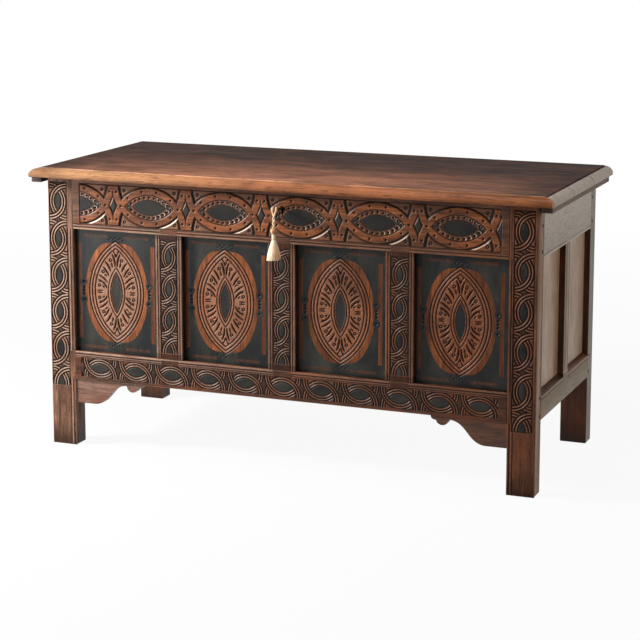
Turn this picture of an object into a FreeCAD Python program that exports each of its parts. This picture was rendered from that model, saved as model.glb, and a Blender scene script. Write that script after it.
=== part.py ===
import FreeCAD, Part
import math
import os

# Joined oak coffer chest: a frame-and-panel carcass on four stile legs, pegged at its mortise and tenon
# joints, with a hinged plank lid, an iron chest lock and its key, and a tassel hung on the key.
# Millimetres, +Z up, +X to the right seen from the front, and the front faces -Y. The origin is on the
# floor, in the middle of the box that holds the closed chest with its key in the lock.

# Carcass
carcass_width = 1400.0
carcass_depth = 590.0
carcass_height = 758.0
stile_width = 75.0
stile_depth = 50.0
foot_wear = 4.0
rail_thickness = 30.0
top_rail_height = 142.0
front_sill_underside = 191.0
front_sill_top = 271.0
side_sill_underside = 193.0
side_sill_top = 263.0
side_sill_face_top = 254.0
front_muntin_width = 78.0
side_muntin_width = 46.0

# Joints of the frame
tenon_thickness = 10.0
tenon_setback = 12.0
rail_tenon_length = 40.0
side_tenon_length = 24.0
muntin_tenon_length = 30.0
muntin_tenon_shoulder = 12.0
sill_tenon_shoulder = 1.0
top_tenon_shoulder = 12.0
lower_tenon_shoulder = 4.0
joint_clearance = 0.2
peg_diameter = 10.0
peg_length = 34.0
peg_from_shoulder = 13.0
peg_clearance = 0.1
front_peg_depth = 6.0
top_pegs_above_rail = (19.0, 86.0)
sill_pegs_above_rail = (14.0, 62.0)

# Panels and floor
front_panel_names = ("outer_left", "inner_left", "inner_right", "outer_right")
front_muntin_names = ("left", "middle", "right")
panel_recess = 16.0
panel_thickness = 10.0
tongue_thickness = 6.0
tongue_setback = 2.0
tongue_depth = 8.0
groove_depth = 9.0
floor_height = 212.0
floor_thickness = 14.0
floor_groove_depth = 10.0
floor_board_count = 4
board_gap = 0.5

# Edge mouldings, run with a scratch stock
moulding_width = 13.0
moulding_groove = 2.0
moulding_depth = 1.6

# Lid
lid_gap = 0.4
lid_thickness = 25.6
lid_front_overhang = 33.0
lid_rear_overhang = 20.0
lid_end_overhang = 42.0
rear_plank_width = 215.0
middle_plank_width = 205.0
plank_gap = 0.4
nose_reach = 24.0
nose_quirk = 1.6
nose_shoulder_reach = 15.0
nose_shoulder_drop = 3.7
nose_full_height = 9.0
nose_under_reach = 3.0
cleat_width = 30.0
cleat_height = 14.6
cleat_end_gap = 9.5
cleat_front_setback = 14.0
cleat_rear_setback = 34.0

# Brackets under the front sill
bracket_setback = 4.0
bracket_thickness = 18.0
bracket_length = 207.0
bracket_drop = 68.0
bracket_foot_length = 56.0
bracket_cusp_place = 157.5
bracket_cusp_drop = 8.0
bracket_nib_place = 175.0
bracket_nib_drop = 24.5
bracket_step_place = 192.5
bracket_step_drop = 11.5

# Hinges
hinge_from_end = 250.0
strap_width = 28.0
strap_length = 270.0
strap_thickness = 3.0
side_knuckle_length = 12.0
knuckle_radius = 5.2
knuckle_gap = 0.3
pin_radius = 2.5
pin_clearance = 0.05
pin_head_radius = 4.0
pin_head_thickness = 1.5
plate_height = 72.0
plate_nail_edge = 9.0
plate_nail_drops = (24.0, 60.0)
strap_nails_from_front = (32.0, 102.0, 172.0)
housing_clearance = 1.0

# Nails of the ironwork and the cleats
nail_radius = 1.8
nail_head_radius = 4.5
nail_head_height = 2.0
nail_length = 20.0
nail_clearance = 0.05
cleat_nail_count = 5

# Lock and key
key_place = 3.0
key_below_top = 47.0
key_reach = 54.0
bow_radius = 10.0
bow_bar_radius = 2.0
shank_radius = 3.5
shank_clearance = 0.4
shank_end = 52.5
collar_radius = 5.2
collar_length = 5.0
bit_reach = 15.5
bit_thickness = 3.0
bit_start = 40.0
bit_length = 10.0
bit_clearance = 0.5
keyhole_radius = 5.5
lock_plate_thickness = 3.0
lock_wall = 2.0
lock_inside_depth = 21.0
lock_left = 48.0
lock_right = 30.0
lock_above = 22.0
lock_flange = 12.0
bolt_top_drop = 11.0
bolt_height = 8.0
bolt_thickness = 5.0
bolt_tip = 28.0
bolt_tail = 22.0
bolt_notch_half = 4.5
bolt_notch_depth = 5.0
bolt_clearance = 0.3
bolt_guide_length = 7.3
staple_gap = 3.0
staple_thickness = 4.0
staple_wall = 3.0
staple_clearance = 1.2
staple_slot_clearance = 1.5
staple_swing = 5.0
staple_foot_length = 44.0
staple_nail_reach = 15.4

# Tassel
cord_diameter = 4.4
cord_above_key = 11.0
cord_gap = 0.8
tassel_length = 142.0
cord_span = 56.5
knot_radius = 9.0
knot_flat_radius = 5.0
neck_length = 14.0
neck_radius = 6.0
waist_radius = 4.5
skirt_radius = 20.0
skirt_shoulder_radius = 16.0
skirt_shoulder_height = 22.6

# How far a cut runs past the surface that it starts from
overrun = 1.0

LEFT, RIGHT = -1, 1
FRONT, REAR = -1, 1
V = FreeCAD.Vector
X_AXIS = V(1, 0, 0)
Y_AXIS = V(0, 1, 0)
Z_AXIS = V(0, 0, 1)

front_face = key_reach - (key_reach + carcass_depth + lid_rear_overhang) / 2
middle_y = front_face + carcass_depth / 2
half_opening = carcass_width / 2 - stile_width
top_rail_underside = carcass_height - top_rail_height
key_height = carcass_height - key_below_top
front_muntins_width = len(front_muntin_names) * front_muntin_width
front_panel_width = (2 * half_opening - front_muntins_width) / len(front_panel_names)
front_pitch = front_panel_width + front_muntin_width
side_opening = carcass_depth - 2 * stile_depth
side_panel_width = (side_opening - side_muntin_width) / 2
front_panel_lefts = [n * front_pitch - half_opening for n in range(len(front_panel_names))]
front_muntin_centres = [left - front_muntin_width / 2 for left in front_panel_lefts[1:]]
groove_setback = panel_recess + tongue_setback
groove_width = tongue_thickness


def across(side, inward):
    """X at a distance inward from the outer face of the left or right side."""
    return side * (carcass_width / 2 - inward)


def along(end, inward):
    """Y at a distance inward from the face of the front or rear frame."""
    return middle_y + end * (carcass_depth / 2 - inward)


def deep(distance):
    """Y at a distance behind the front face."""
    return along(FRONT, distance)


def box(x, y, z, grow=0.0):
    """A box between two places on each axis, given in any order, and grown all round if asked."""
    low = [min(pair) - grow for pair in (x, y, z)]
    size = [max(pair) - min(pair) + 2 * grow for pair in (x, y, z)]
    return Part.makeBox(size[0], size[1], size[2], V(*low))


def rod(start, direction, radius, length):
    return Part.makeCylinder(radius, length, start, direction)


def prism(points, direction):
    """A solid from a closed flat outline, pushed along a direction."""
    return Part.Face(Part.makePolygon(points + points[:1])).extrude(direction)


def cut(solid, tools):
    return solid.cut(Part.makeCompound(tools)) if tools else solid


def save(name, shape):
    solids = shape.Solids
    whole = solids[0] if len(solids) == 1 else Part.makeCompound(solids)
    whole.exportStep("parts/" + name + ".step")


os.makedirs("parts", exist_ok=True)

# Places shared by both halves of each joint

top_tenon = (top_rail_underside + lower_tenon_shoulder, carcass_height - top_tenon_shoulder)
front_sill_tenon = (front_sill_underside + lower_tenon_shoulder, front_sill_top - sill_tenon_shoulder)
side_sill_tenon = (side_sill_underside + lower_tenon_shoulder, side_sill_top - sill_tenon_shoulder)
peg_heights = [top_rail_underside + up for up in top_pegs_above_rail]
peg_heights += [side_sill_underside + up for up in sill_pegs_above_rail]


def frame_tenon(side, end, heights, grow=0.0):
    """The tenon of a front or rear rail in one stile, or its mortise where it is grown."""
    x = (across(side, stile_width), across(side, stile_width - rail_tenon_length))
    y = (along(end, tenon_setback), along(end, tenon_setback + tenon_thickness))
    return box(x, y, heights, grow)


def side_tenon(side, end, heights, grow=0.0):
    """The tenon of a side rail in one stile, or its mortise where it is grown."""
    x = (across(side, tenon_setback), across(side, tenon_setback + tenon_thickness))
    y = (along(end, stile_depth), along(end, stile_depth - side_tenon_length))
    return box(x, y, heights, grow)


def frame_pegs(side, end, radius):
    """Pegs driven from the front or rear face through the frame tenons of one stile. Those of the
    front start under the carving."""
    depth = front_peg_depth if end == FRONT else 0.0
    x = across(side, stile_width - peg_from_shoulder)
    inward = V(0, -end, 0)
    return [rod(V(x, along(end, depth), z), inward, radius, peg_length) for z in peg_heights]


def side_pegs(side, end, radius):
    """Pegs driven from the side face through the side tenons of one stile."""
    y = along(end, stile_depth - peg_from_shoulder)
    inward = V(-side, 0, 0)
    return [rod(V(across(side, 0), y, z), inward, radius, peg_length) for z in peg_heights]


corners = [(side, end) for side in (LEFT, RIGHT) for end in (FRONT, REAR)]
peg_radius = peg_diameter / 2
peg_holes = []
draw_pegs = []
for side, end in corners:
    peg_holes += frame_pegs(side, end, peg_radius + peg_clearance)
    peg_holes += side_pegs(side, end, peg_radius + peg_clearance)
    draw_pegs += frame_pegs(side, end, peg_radius)
    draw_pegs += side_pegs(side, end, peg_radius)
save("draw_pegs", Part.makeCompound(draw_pegs))


# Stiles: the four legs, each run from the floor to the lid


def stile(side, end):
    post = box((across(side, 0), across(side, stile_width)), (along(end, 0), along(end, stile_depth)),
               (0, carcass_height))
    foot_edges = [edge for edge in post.Edges if edge.BoundBox.ZMax < foot_wear]
    post = post.makeFillet(foot_wear, foot_edges)
    tools = [frame_tenon(side, end, top_tenon, joint_clearance)]
    tools.append(frame_tenon(side, end, front_sill_tenon, joint_clearance))
    tools.append(side_tenon(side, end, top_tenon, joint_clearance))
    tools.append(side_tenon(side, end, side_sill_tenon, joint_clearance))
    groove = (groove_setback, groove_setback + groove_width)
    tools.append(box((across(side, stile_width), across(side, stile_width - groove_depth)),
                     (along(end, groove[0]), along(end, groove[1])),
                     (front_sill_top - groove_depth, top_rail_underside + groove_depth), joint_clearance))
    tools.append(box((across(side, groove[0]), across(side, groove[1])),
                     (along(end, stile_depth), along(end, stile_depth - groove_depth)),
                     (side_sill_top - groove_depth, top_rail_underside + groove_depth), joint_clearance))
    tools += peg_holes
    if end == FRONT:
        tools += edge_moulding_on_stile(side)
    return cut(post, tools)


def edge_moulding_on_stile(side):
    """Two scratched lines near the inner edge, beside the panel opening and again down the leg."""
    lines = []
    for inset in (moulding_width / 2, moulding_width):
        x = (across(side, stile_width - inset), across(side, stile_width - inset - moulding_groove))
        y = (deep(0), deep(moulding_depth))
        lines.append(box(x, y, (front_sill_top, top_rail_underside)))
        lines.append(box(x, y, (0, front_sill_underside)))
    return lines


for side, end in corners:
    save("stile_" + ("front_" if end == FRONT else "rear_") + ("left" if side == LEFT else "right"),
         stile(side, end))

# Front and rear rails, tenoned into the stiles


def frame_rail(end, bottom, top, tenon_heights, panel_edge):
    """A rail of the front or rear frame. Its panel edge is the one that holds the panels."""
    rail = box((-half_opening, half_opening), (along(end, 0), along(end, rail_thickness)), (bottom, top))
    for side in (LEFT, RIGHT):
        rail = rail.fuse(frame_tenon(side, end, tenon_heights))
    into_rail = 1 if panel_edge == bottom else -1
    tools = list(peg_holes)
    groove_end = half_opening + groove_depth
    tools.append(box((-groove_end, groove_end),
                     (along(end, groove_setback), along(end, groove_setback + groove_width)),
                     (panel_edge, panel_edge + into_rail * groove_depth), joint_clearance))
    tools += [muntin_tenon(end, centre, panel_edge, into_rail, joint_clearance)
              for centre in front_muntin_centres]
    return rail, tools


def muntin_tenon(end, centre, edge, into_rail, grow=0.0):
    """One tenon of a front or rear muntin, from the edge of a rail into it."""
    half = front_muntin_width / 2 - muntin_tenon_shoulder
    y = (along(end, tenon_setback), along(end, tenon_setback + tenon_thickness))
    return box((centre - half, centre + half), y, (edge, edge + into_rail * muntin_tenon_length), grow)


def rail_moulding(edge, into_rail):
    """Two scratched lines along the panel edge of a front rail, stopped at each muntin."""
    lines = []
    for left in front_panel_lefts:
        for inset in (moulding_width / 2, moulding_width):
            z = edge + into_rail * inset
            lines.append(box((left, left + front_panel_width), (deep(0), deep(moulding_depth)),
                             (z, z + into_rail * moulding_groove)))
    return lines


def floor_space(grow=0.0):
    """The floor's outline with its edges in the grooves of the sills."""
    inset = rail_thickness - floor_groove_depth
    return box((across(LEFT, inset), across(RIGHT, inset)), (along(FRONT, inset), along(REAR, inset)),
               (floor_height, floor_height + floor_thickness), grow)


# The lock's places, in front of which the key turns
bolt_top = key_height - bolt_top_drop
bolt_bottom = bolt_top - bolt_height
bit_middle = bit_start + bit_length / 2
bolt_front = bit_middle - bolt_thickness / 2
bolt_back = bit_middle + bolt_thickness / 2


def keyhole(radius, slot_half, slot_reach, near, far):
    """A round hole for the shank with a slot for the bit below it, between two depths."""
    hole = rod(V(key_place, deep(near), key_height), Y_AXIS, radius, far - near)
    slot = box((key_place - slot_half, key_place + slot_half), (deep(near), deep(far)),
               (key_height - slot_reach, key_height))
    return [hole, slot]


top_rail, tools = frame_rail(FRONT, top_rail_underside, carcass_height, top_tenon, top_rail_underside)
tools += rail_moulding(top_rail_underside, 1)
tools += keyhole(keyhole_radius, bit_thickness, bit_reach + keyhole_radius - shank_radius, 0, rail_thickness)
lock_nail_inset = lock_wall + lock_flange / 2
lock_nail_places = [(key_place + x, key_height + z)
                    for x in (-lock_left - lock_nail_inset, lock_right + lock_nail_inset)
                    for z in (lock_above / 2, -lock_above / 2)]
lock_nail_start = rail_thickness + lock_plate_thickness
for x, z in lock_nail_places:
    tools.append(rod(V(x, deep(lock_nail_start), z), -Y_AXIS, nail_radius + nail_clearance,
                     nail_length + nail_clearance))
save("rail_front_top", cut(top_rail, tools))

sill, tools = frame_rail(FRONT, front_sill_underside, front_sill_top, front_sill_tenon, front_sill_top)
tools += rail_moulding(front_sill_top, -1)
tools.append(floor_space(joint_clearance))
save("rail_front_bottom", cut(sill, tools))

sill, tools = frame_rail(REAR, front_sill_underside, front_sill_top, front_sill_tenon, front_sill_top)
tools.append(floor_space(joint_clearance))
save("rail_rear_bottom", cut(sill, tools))

# The hinges turn about a pin behind the rear rail, just under the lid
lid_bottom = carcass_height + lid_gap
lid_top = lid_bottom + lid_thickness
hinge_y = along(REAR, 0) + knuckle_radius + knuckle_gap
hinge_z = lid_bottom - knuckle_radius - lid_gap
hinge_place = carcass_width / 2 - hinge_from_end
plate_width = strap_width + 2 * (side_knuckle_length + knuckle_gap)
plate_nail_reach = plate_width / 2 - plate_nail_edge
plate_nail_places = [(x, hinge_z - drop) for x in (-plate_nail_reach, plate_nail_reach)
                     for drop in plate_nail_drops]

top_rail, tools = frame_rail(REAR, top_rail_underside, carcass_height, top_tenon, top_rail_underside)
for side in (LEFT, RIGHT):
    half = strap_width / 2 + housing_clearance
    tools.append(box((side * hinge_place - half, side * hinge_place + half),
                     (along(REAR, 0), along(REAR, rail_thickness)),
                     (lid_bottom - strap_thickness - lid_gap, carcass_height)))
    for x, z in plate_nail_places:
        tools.append(rod(V(side * hinge_place + x, along(REAR, 0), z), -Y_AXIS,
                         nail_radius + nail_clearance, nail_length))
save("rail_rear_top", cut(top_rail, tools))

# Side rails. The lower ones have a sloping sill under each panel.


def side_rail(side, bottom, top, tenon_heights, panel_edge):
    rail = box((across(side, 0), across(side, rail_thickness)),
               (along(FRONT, stile_depth), along(REAR, stile_depth)), (bottom, top))
    for end in (FRONT, REAR):
        rail = rail.fuse(side_tenon(side, end, tenon_heights))
    into_rail = 1 if panel_edge == bottom else -1
    tools = list(peg_holes)
    groove_start = stile_depth - groove_depth
    tools.append(box((across(side, groove_setback), across(side, groove_setback + groove_width)),
                     (along(FRONT, groove_start), along(REAR, groove_start)),
                     (panel_edge, panel_edge + into_rail * groove_depth), joint_clearance))
    tools.append(side_muntin_tenon(side, panel_edge, into_rail, joint_clearance))
    return rail, tools


def side_muntin_tenon(side, edge, into_rail, grow=0.0):
    half = side_muntin_width / 2 - muntin_tenon_shoulder
    x = (across(side, tenon_setback), across(side, tenon_setback + tenon_thickness))
    return box(x, (middle_y - half, middle_y + half), (edge, edge + into_rail * muntin_tenon_length), grow)


def sloping_sill(side, end):
    """The wedge that leaves a slope under one side panel, from the rail's face back to the panel."""
    near = middle_y + end * side_muntin_width / 2
    outline = [V(across(side, 0), near, side_sill_face_top), V(across(side, 0), near, side_sill_top),
               V(across(side, panel_recess), near, side_sill_top)]
    return prism(outline, V(0, end * side_panel_width, 0))


for side, name in ((LEFT, "left"), (RIGHT, "right")):
    rail, tools = side_rail(side, top_rail_underside, carcass_height, top_tenon, top_rail_underside)
    save("rail_" + name + "_top", cut(rail, tools))
    rail, tools = side_rail(side, side_sill_underside, side_sill_top, side_sill_tenon, side_sill_top)
    tools += [sloping_sill(side, FRONT), sloping_sill(side, REAR), floor_space(joint_clearance)]
    save("rail_" + name + "_bottom", cut(rail, tools))

# Muntins: the uprights between the panels


def frame_muntin(end, centre):
    left, right = centre - front_muntin_width / 2, centre + front_muntin_width / 2
    post = box((left, right), (along(end, 0), along(end, rail_thickness)), (front_sill_top, top_rail_underside))
    post = post.fuse(muntin_tenon(end, centre, top_rail_underside, 1))
    post = post.fuse(muntin_tenon(end, centre, front_sill_top, -1))
    y = (along(end, groove_setback), along(end, groove_setback + groove_width))
    z = (front_sill_top, top_rail_underside)
    tools = [box((left, left + groove_depth), y, z, joint_clearance)]
    tools.append(box((right, right - groove_depth), y, z, joint_clearance))
    if end == FRONT:
        for inset in (moulding_width / 2, moulding_width):
            face = (deep(0), deep(moulding_depth))
            tools.append(box((left + inset, left + inset - moulding_groove), face, z))
            tools.append(box((right - inset, right - inset + moulding_groove), face, z))
    return cut(post, tools)


for centre, name in zip(front_muntin_centres, front_muntin_names):
    save("muntin_front_" + name, frame_muntin(FRONT, centre))
    save("muntin_rear_" + name, frame_muntin(REAR, centre))

for side, name in ((LEFT, "left"), (RIGHT, "right")):
    half = side_muntin_width / 2
    post = box((across(side, 0), across(side, rail_thickness)), (middle_y - half, middle_y + half),
               (side_sill_top, top_rail_underside))
    post = post.fuse(side_muntin_tenon(side, top_rail_underside, 1))
    post = post.fuse(side_muntin_tenon(side, side_sill_top, -1))
    x = (across(side, groove_setback), across(side, groove_setback + groove_width))
    z = (side_sill_top, top_rail_underside)
    grooves = [box(x, (middle_y - half, middle_y - half + groove_depth), z, joint_clearance)]
    grooves.append(box(x, (middle_y + half, middle_y + half - groove_depth), z, joint_clearance))
    save("muntin_side_" + name, cut(post, grooves))

# Panels, each held by a tongue in the grooves around it

for end, wall in ((FRONT, "front"), (REAR, "rear")):
    for left, name in zip(front_panel_lefts, front_panel_names):
        field = box((left, left + front_panel_width),
                    (along(end, panel_recess), along(end, panel_recess + panel_thickness)),
                    (front_sill_top, top_rail_underside), -joint_clearance)
        tongue = box((left - tongue_depth, left + front_panel_width + tongue_depth),
                     (along(end, groove_setback), along(end, groove_setback + tongue_thickness)),
                     (front_sill_top - tongue_depth, top_rail_underside + tongue_depth))
        save("panel_" + wall + "_" + name, field.fuse(tongue))

for side, wall in ((LEFT, "left"), (RIGHT, "right")):
    for end, name in ((FRONT, "front"), (REAR, "rear")):
        near = middle_y + end * side_muntin_width / 2
        far = near + end * side_panel_width
        field = box((across(side, panel_recess), across(side, panel_recess + panel_thickness)),
                    (near, far), (side_sill_top, top_rail_underside), -joint_clearance)
        tongue = box((across(side, groove_setback), across(side, groove_setback + tongue_thickness)),
                     (near - end * tongue_depth, far + end * tongue_depth),
                     (side_sill_top - tongue_depth, top_rail_underside + tongue_depth))
        save("panel_" + wall + "_" + name, field.fuse(tongue))

# Floor boards, laid front to back in the sill grooves and notched round the stiles

floor = floor_space()
stile_corners = [box((across(side, 0), across(side, stile_width)), (along(end, 0), along(end, stile_depth)),
                     (0, carcass_height), board_gap) for side, end in corners]
floor = cut(floor, stile_corners)
floor_left, floor_right = floor.BoundBox.XMin, floor.BoundBox.XMax
board_pitch = (floor_right - floor_left) / floor_board_count
for n in range(floor_board_count):
    left = floor_left + n * board_pitch + (board_gap / 2 if n else 0)
    right = floor_left + (n + 1) * board_pitch - (board_gap / 2 if n < floor_board_count - 1 else 0)
    strip = box((left, right), (along(FRONT, 0), along(REAR, 0)), (0, carcass_height))
    save("floor_board_" + str(n + 1), floor.common(strip))

# Shaped brackets in the corners between the front legs and the sill


def bracket(side):
    """An ogee bracket: a straight foot at the stile, an S-shaped sweep, a cusp, a round nib and a step."""
    def at(out, down):
        return V(across(side, stile_width + out), deep(bracket_setback), front_sill_underside - down)

    def curve(*poles):
        spline = Part.BezierCurve()
        spline.setPoles(list(poles))
        return spline.toShape()

    sweep_middle = (bracket_foot_length + bracket_cusp_place) / 2
    nib = at(bracket_nib_place, bracket_nib_drop)
    cusp = at(bracket_cusp_place, bracket_cusp_drop)
    step = at(bracket_step_place, bracket_step_drop)
    edges = [Part.makeLine(at(0, 0), at(0, bracket_drop)),
             Part.makeLine(at(0, bracket_drop), at(bracket_foot_length, bracket_drop)),
             curve(at(bracket_foot_length, bracket_drop), at(sweep_middle, bracket_drop),
                   at(sweep_middle, bracket_cusp_drop), cusp),
             Part.Arc(cusp, nib, step).toShape(),
             curve(step, at(bracket_length, bracket_step_drop), at(bracket_length, 0)),
             Part.makeLine(at(bracket_length, 0), at(0, 0))]
    return Part.Face(Part.Wire(edges)).extrude(V(0, bracket_thickness, 0))


save("bracket_left", bracket(LEFT))
save("bracket_right", bracket(RIGHT))

# Lid: three planks, with a nosing round the front and both ends

lid_front = along(FRONT, -lid_front_overhang)
lid_rear = along(REAR, -lid_rear_overhang)
lid_half = carcass_width / 2 + lid_end_overhang


def nosing_waste(origin, outward, run):
    """What the moulding plane takes off one edge: a quirk, a long thumb curve, and the round below it.
    The origin is on the top edge, and outward points away from the lid."""
    def at(reach, drop):
        return origin + outward * (reach - nose_reach) + V(0, 0, -drop)

    full = lid_thickness - nose_full_height
    start, fullest = at(0, nose_quirk), at(nose_reach, full)
    shoulder = at(nose_shoulder_reach, nose_quirk + nose_shoulder_drop)
    under = at(nose_reach - nose_under_reach, lid_thickness)
    under_round = Part.BezierCurve()
    under_round.setPoles([fullest, at(nose_reach, lid_thickness), under])
    waste_corners = [under, at(nose_reach - nose_under_reach, lid_thickness + overrun),
                     at(nose_reach + overrun, lid_thickness + overrun),
                     at(nose_reach + overrun, -overrun), at(0, -overrun), start]
    edges = [Part.Arc(start, shoulder, fullest).toShape(), under_round.toShape()]
    edges += [Part.makeLine(here, there) for here, there in zip(waste_corners, waste_corners[1:])]
    return Part.Face(Part.Wire(edges)).extrude(run)


slab = box((-lid_half, lid_half), (lid_front, lid_rear), (lid_bottom, lid_top))
whole_width = V(2 * (lid_half + overrun), 0, 0)
whole_depth = V(0, lid_rear - lid_front + 2 * overrun, 0)
slab = cut(slab, [nosing_waste(V(-lid_half - overrun, lid_front, lid_top), -Y_AXIS, whole_width)])
slab = cut(slab, [nosing_waste(V(-lid_half, lid_front - overrun, lid_top), -X_AXIS, whole_depth)])
slab = cut(slab, [nosing_waste(V(lid_half, lid_front - overrun, lid_top), X_AXIS, whole_depth)])

# Cleats under the ends of the lid, and the nails driven up through them

cleat_bottom = lid_bottom - cleat_height
cleat_front = lid_front + cleat_front_setback
cleat_rear = lid_rear - cleat_rear_setback
cleat_nails = []
cleat_nail_holes = []
for side in (LEFT, RIGHT):
    x = across(side, -cleat_end_gap - cleat_width / 2)
    for n in range(cleat_nail_count):
        y = cleat_front + (n + 0.5) * (cleat_rear - cleat_front) / cleat_nail_count
        start = V(x, y, cleat_bottom + nail_head_height)
        shank = rod(start, Z_AXIS, nail_radius, nail_length + cleat_height / 2)
        head = rod(V(x, y, cleat_bottom), Z_AXIS, nail_head_radius, nail_head_height)
        cleat_nails.append(shank.fuse(head))
        cleat_nail_holes.append(rod(start, Z_AXIS, nail_radius + nail_clearance,
                                    nail_length + cleat_height / 2 + nail_clearance))
        cleat_nail_holes.append(rod(V(x, y, cleat_bottom), Z_AXIS, nail_head_radius + nail_clearance,
                                    nail_head_height))
save("cleat_nails", Part.makeCompound(cleat_nails))

for side, name in ((LEFT, "left"), (RIGHT, "right")):
    cleat = box((across(side, -cleat_end_gap), across(side, -cleat_end_gap - cleat_width)),
                (cleat_front, cleat_rear), (cleat_bottom, lid_bottom))
    save("lid_cleat_" + name, cut(cleat, cleat_nail_holes))

# Nails of the hinge straps and the staple, driven up into the lid

staple_x = key_place - bolt_tip - staple_gap - staple_thickness / 2
staple_front = bolt_front - staple_clearance - staple_wall
staple_back = bolt_back + staple_clearance + staple_wall
strap_front = hinge_y - strap_length
strap_bottom = lid_bottom - strap_thickness
strap_nail_places = []
for side in (LEFT, RIGHT):
    for place in strap_nails_from_front:
        strap_nail_places.append(V(side * hinge_place, strap_front + place, strap_bottom))
for shift in (-staple_nail_reach, staple_nail_reach):
    strap_nail_places.append(V(staple_x + shift, deep((staple_front + staple_back) / 2), strap_bottom))


def nail_hole(place, direction, length):
    return rod(place, direction, nail_radius + nail_clearance, length)


def nail(place, direction, length):
    """A wrought nail: a square-shouldered head proud of the iron, and a round shank."""
    shank = rod(place, direction, nail_radius, length)
    head = Part.makeCone(nail_head_radius, nail_radius, nail_head_height, place, -direction)
    return shank.fuse(head)


strap_nail_holes = [nail_hole(place, Z_AXIS, nail_length + nail_clearance) for place in strap_nail_places]
save("lid_iron_nails", Part.makeCompound([nail(place, Z_AXIS, nail_length) for place in strap_nail_places]))

slab = cut(slab, cleat_nail_holes + strap_nail_holes)
rear_joint = lid_rear - rear_plank_width
front_joint = rear_joint - middle_plank_width
plank_fronts = [lid_front, front_joint + plank_gap / 2, rear_joint + plank_gap / 2]
plank_rears = [front_joint - plank_gap / 2, rear_joint - plank_gap / 2, lid_rear]
for near, far, name in zip(plank_fronts, plank_rears, ("front", "middle", "rear")):
    save("lid_plank_" + name, slab.common(box((-lid_half, lid_half), (near, far), (lid_bottom, lid_top))))

# Hinges: an iron plate on the rear rail and a strap under the lid, joined by a pin

bore_radius = pin_radius + pin_clearance
pins = []
plate_nails = []
for side, name in ((LEFT, "left"), (RIGHT, "right")):
    centre = side * hinge_place
    bore = rod(V(centre - plate_width, hinge_y, hinge_z), X_AXIS, bore_radius, 2 * plate_width)
    plate = box((centre - plate_width / 2, centre + plate_width / 2),
                (along(REAR, 0), along(REAR, -strap_thickness)), (hinge_z - plate_height, hinge_z))
    for start in (-plate_width / 2, plate_width / 2 - side_knuckle_length):
        knuckle = rod(V(centre + start, hinge_y, hinge_z), X_AXIS, knuckle_radius, side_knuckle_length)
        plate = plate.fuse(knuckle)
    gap = box((centre - strap_width / 2, centre + strap_width / 2),
              (along(REAR, 0), hinge_y + knuckle_radius),
              (hinge_z - knuckle_radius, hinge_z + knuckle_radius), knuckle_gap)
    holes = [nail_hole(V(centre + x, along(REAR, -strap_thickness), z), -Y_AXIS, strap_thickness)
             for x, z in plate_nail_places]
    save("hinge_plate_" + name, cut(plate, [bore, gap] + holes))
    plate_nails += [nail(V(centre + x, along(REAR, -strap_thickness), z), -Y_AXIS, nail_length)
                    for x, z in plate_nail_places]

    strap = box((centre - strap_width / 2, centre + strap_width / 2), (strap_front, hinge_y),
                (strap_bottom, lid_bottom))
    tip = prism([V(centre - strap_width / 2, strap_front, strap_bottom),
                 V(centre + strap_width / 2, strap_front, strap_bottom),
                 V(centre, strap_front - strap_width, strap_bottom)], V(0, 0, strap_thickness))
    barrel = rod(V(centre - strap_width / 2, hinge_y, hinge_z), X_AXIS, knuckle_radius, strap_width)
    save("hinge_strap_" + name, cut(strap.fuse([tip, barrel]), [bore] + strap_nail_holes))

    head_gap = pin_clearance + plate_width / 2
    pin = rod(V(centre - head_gap, hinge_y, hinge_z), X_AXIS, pin_radius, 2 * head_gap)
    for head_start in (-head_gap - pin_head_thickness, head_gap):
        head = rod(V(centre + head_start, hinge_y, hinge_z), X_AXIS, pin_head_radius, pin_head_thickness)
        pin = pin.fuse(head)
    pins.append(pin)
save("hinge_pins", Part.makeCompound(pins))

# Lock: a plate and box behind the top rail, with a bolt that the key throws into the lid's staple

lock_front = rail_thickness
lock_box_front = lock_front + lock_plate_thickness
lock_box_back = lock_box_front + lock_inside_depth
staple_bottom = bolt_bottom - staple_clearance - staple_wall
lock_inside_bottom = staple_bottom - staple_clearance
lock_inside_top = key_height + lock_above
lock_inside_x = (key_place - lock_left, key_place + lock_right)

case = box((lock_inside_x[0] - lock_wall, lock_inside_x[1] + lock_wall),
           (deep(lock_box_front), deep(lock_box_back)),
           (lock_inside_bottom - lock_wall, lock_inside_top + lock_wall))
flange = box((lock_inside_x[0] - lock_wall - lock_flange, lock_inside_x[1] + lock_wall + lock_flange),
             (deep(lock_front), deep(lock_box_front)),
             (lock_inside_bottom - lock_wall, lock_inside_top + lock_wall))
hollow = box(lock_inside_x, (deep(lock_box_front), deep(lock_box_back)), (lock_inside_bottom, lock_inside_top))
staple_slot = box((staple_x - staple_thickness / 2 - staple_slot_clearance,
                   staple_x + staple_thickness / 2 + staple_slot_clearance),
                  (deep(staple_front - staple_swing), deep(staple_back + staple_slot_clearance)),
                  (lock_inside_top - overrun, lock_inside_top + lock_wall + overrun))
case = cut(case.fuse(flange), [hollow, staple_slot])
for guide_start in (-bolt_tip, 0):
    guide = box((key_place + guide_start, key_place + guide_start + bolt_guide_length),
                (deep(lock_box_front), deep(lock_box_back)),
                (lock_inside_bottom, bolt_bottom - bolt_clearance))
    case = case.fuse(guide)
holes = keyhole(shank_radius + shank_clearance, bit_thickness / 2 + bit_clearance, bit_reach + bit_clearance,
                lock_front, lock_box_front)
holes += [nail_hole(V(x, deep(lock_front), z), Y_AXIS, lock_plate_thickness) for x, z in lock_nail_places]
save("lock_case", cut(case, holes))
save("lock_cover", box((lock_inside_x[0] - lock_wall, lock_inside_x[1] + lock_wall),
                       (deep(lock_box_back), deep(lock_box_back + lock_wall)),
                       (lock_inside_bottom - lock_wall, lock_inside_top + lock_wall)))
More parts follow.
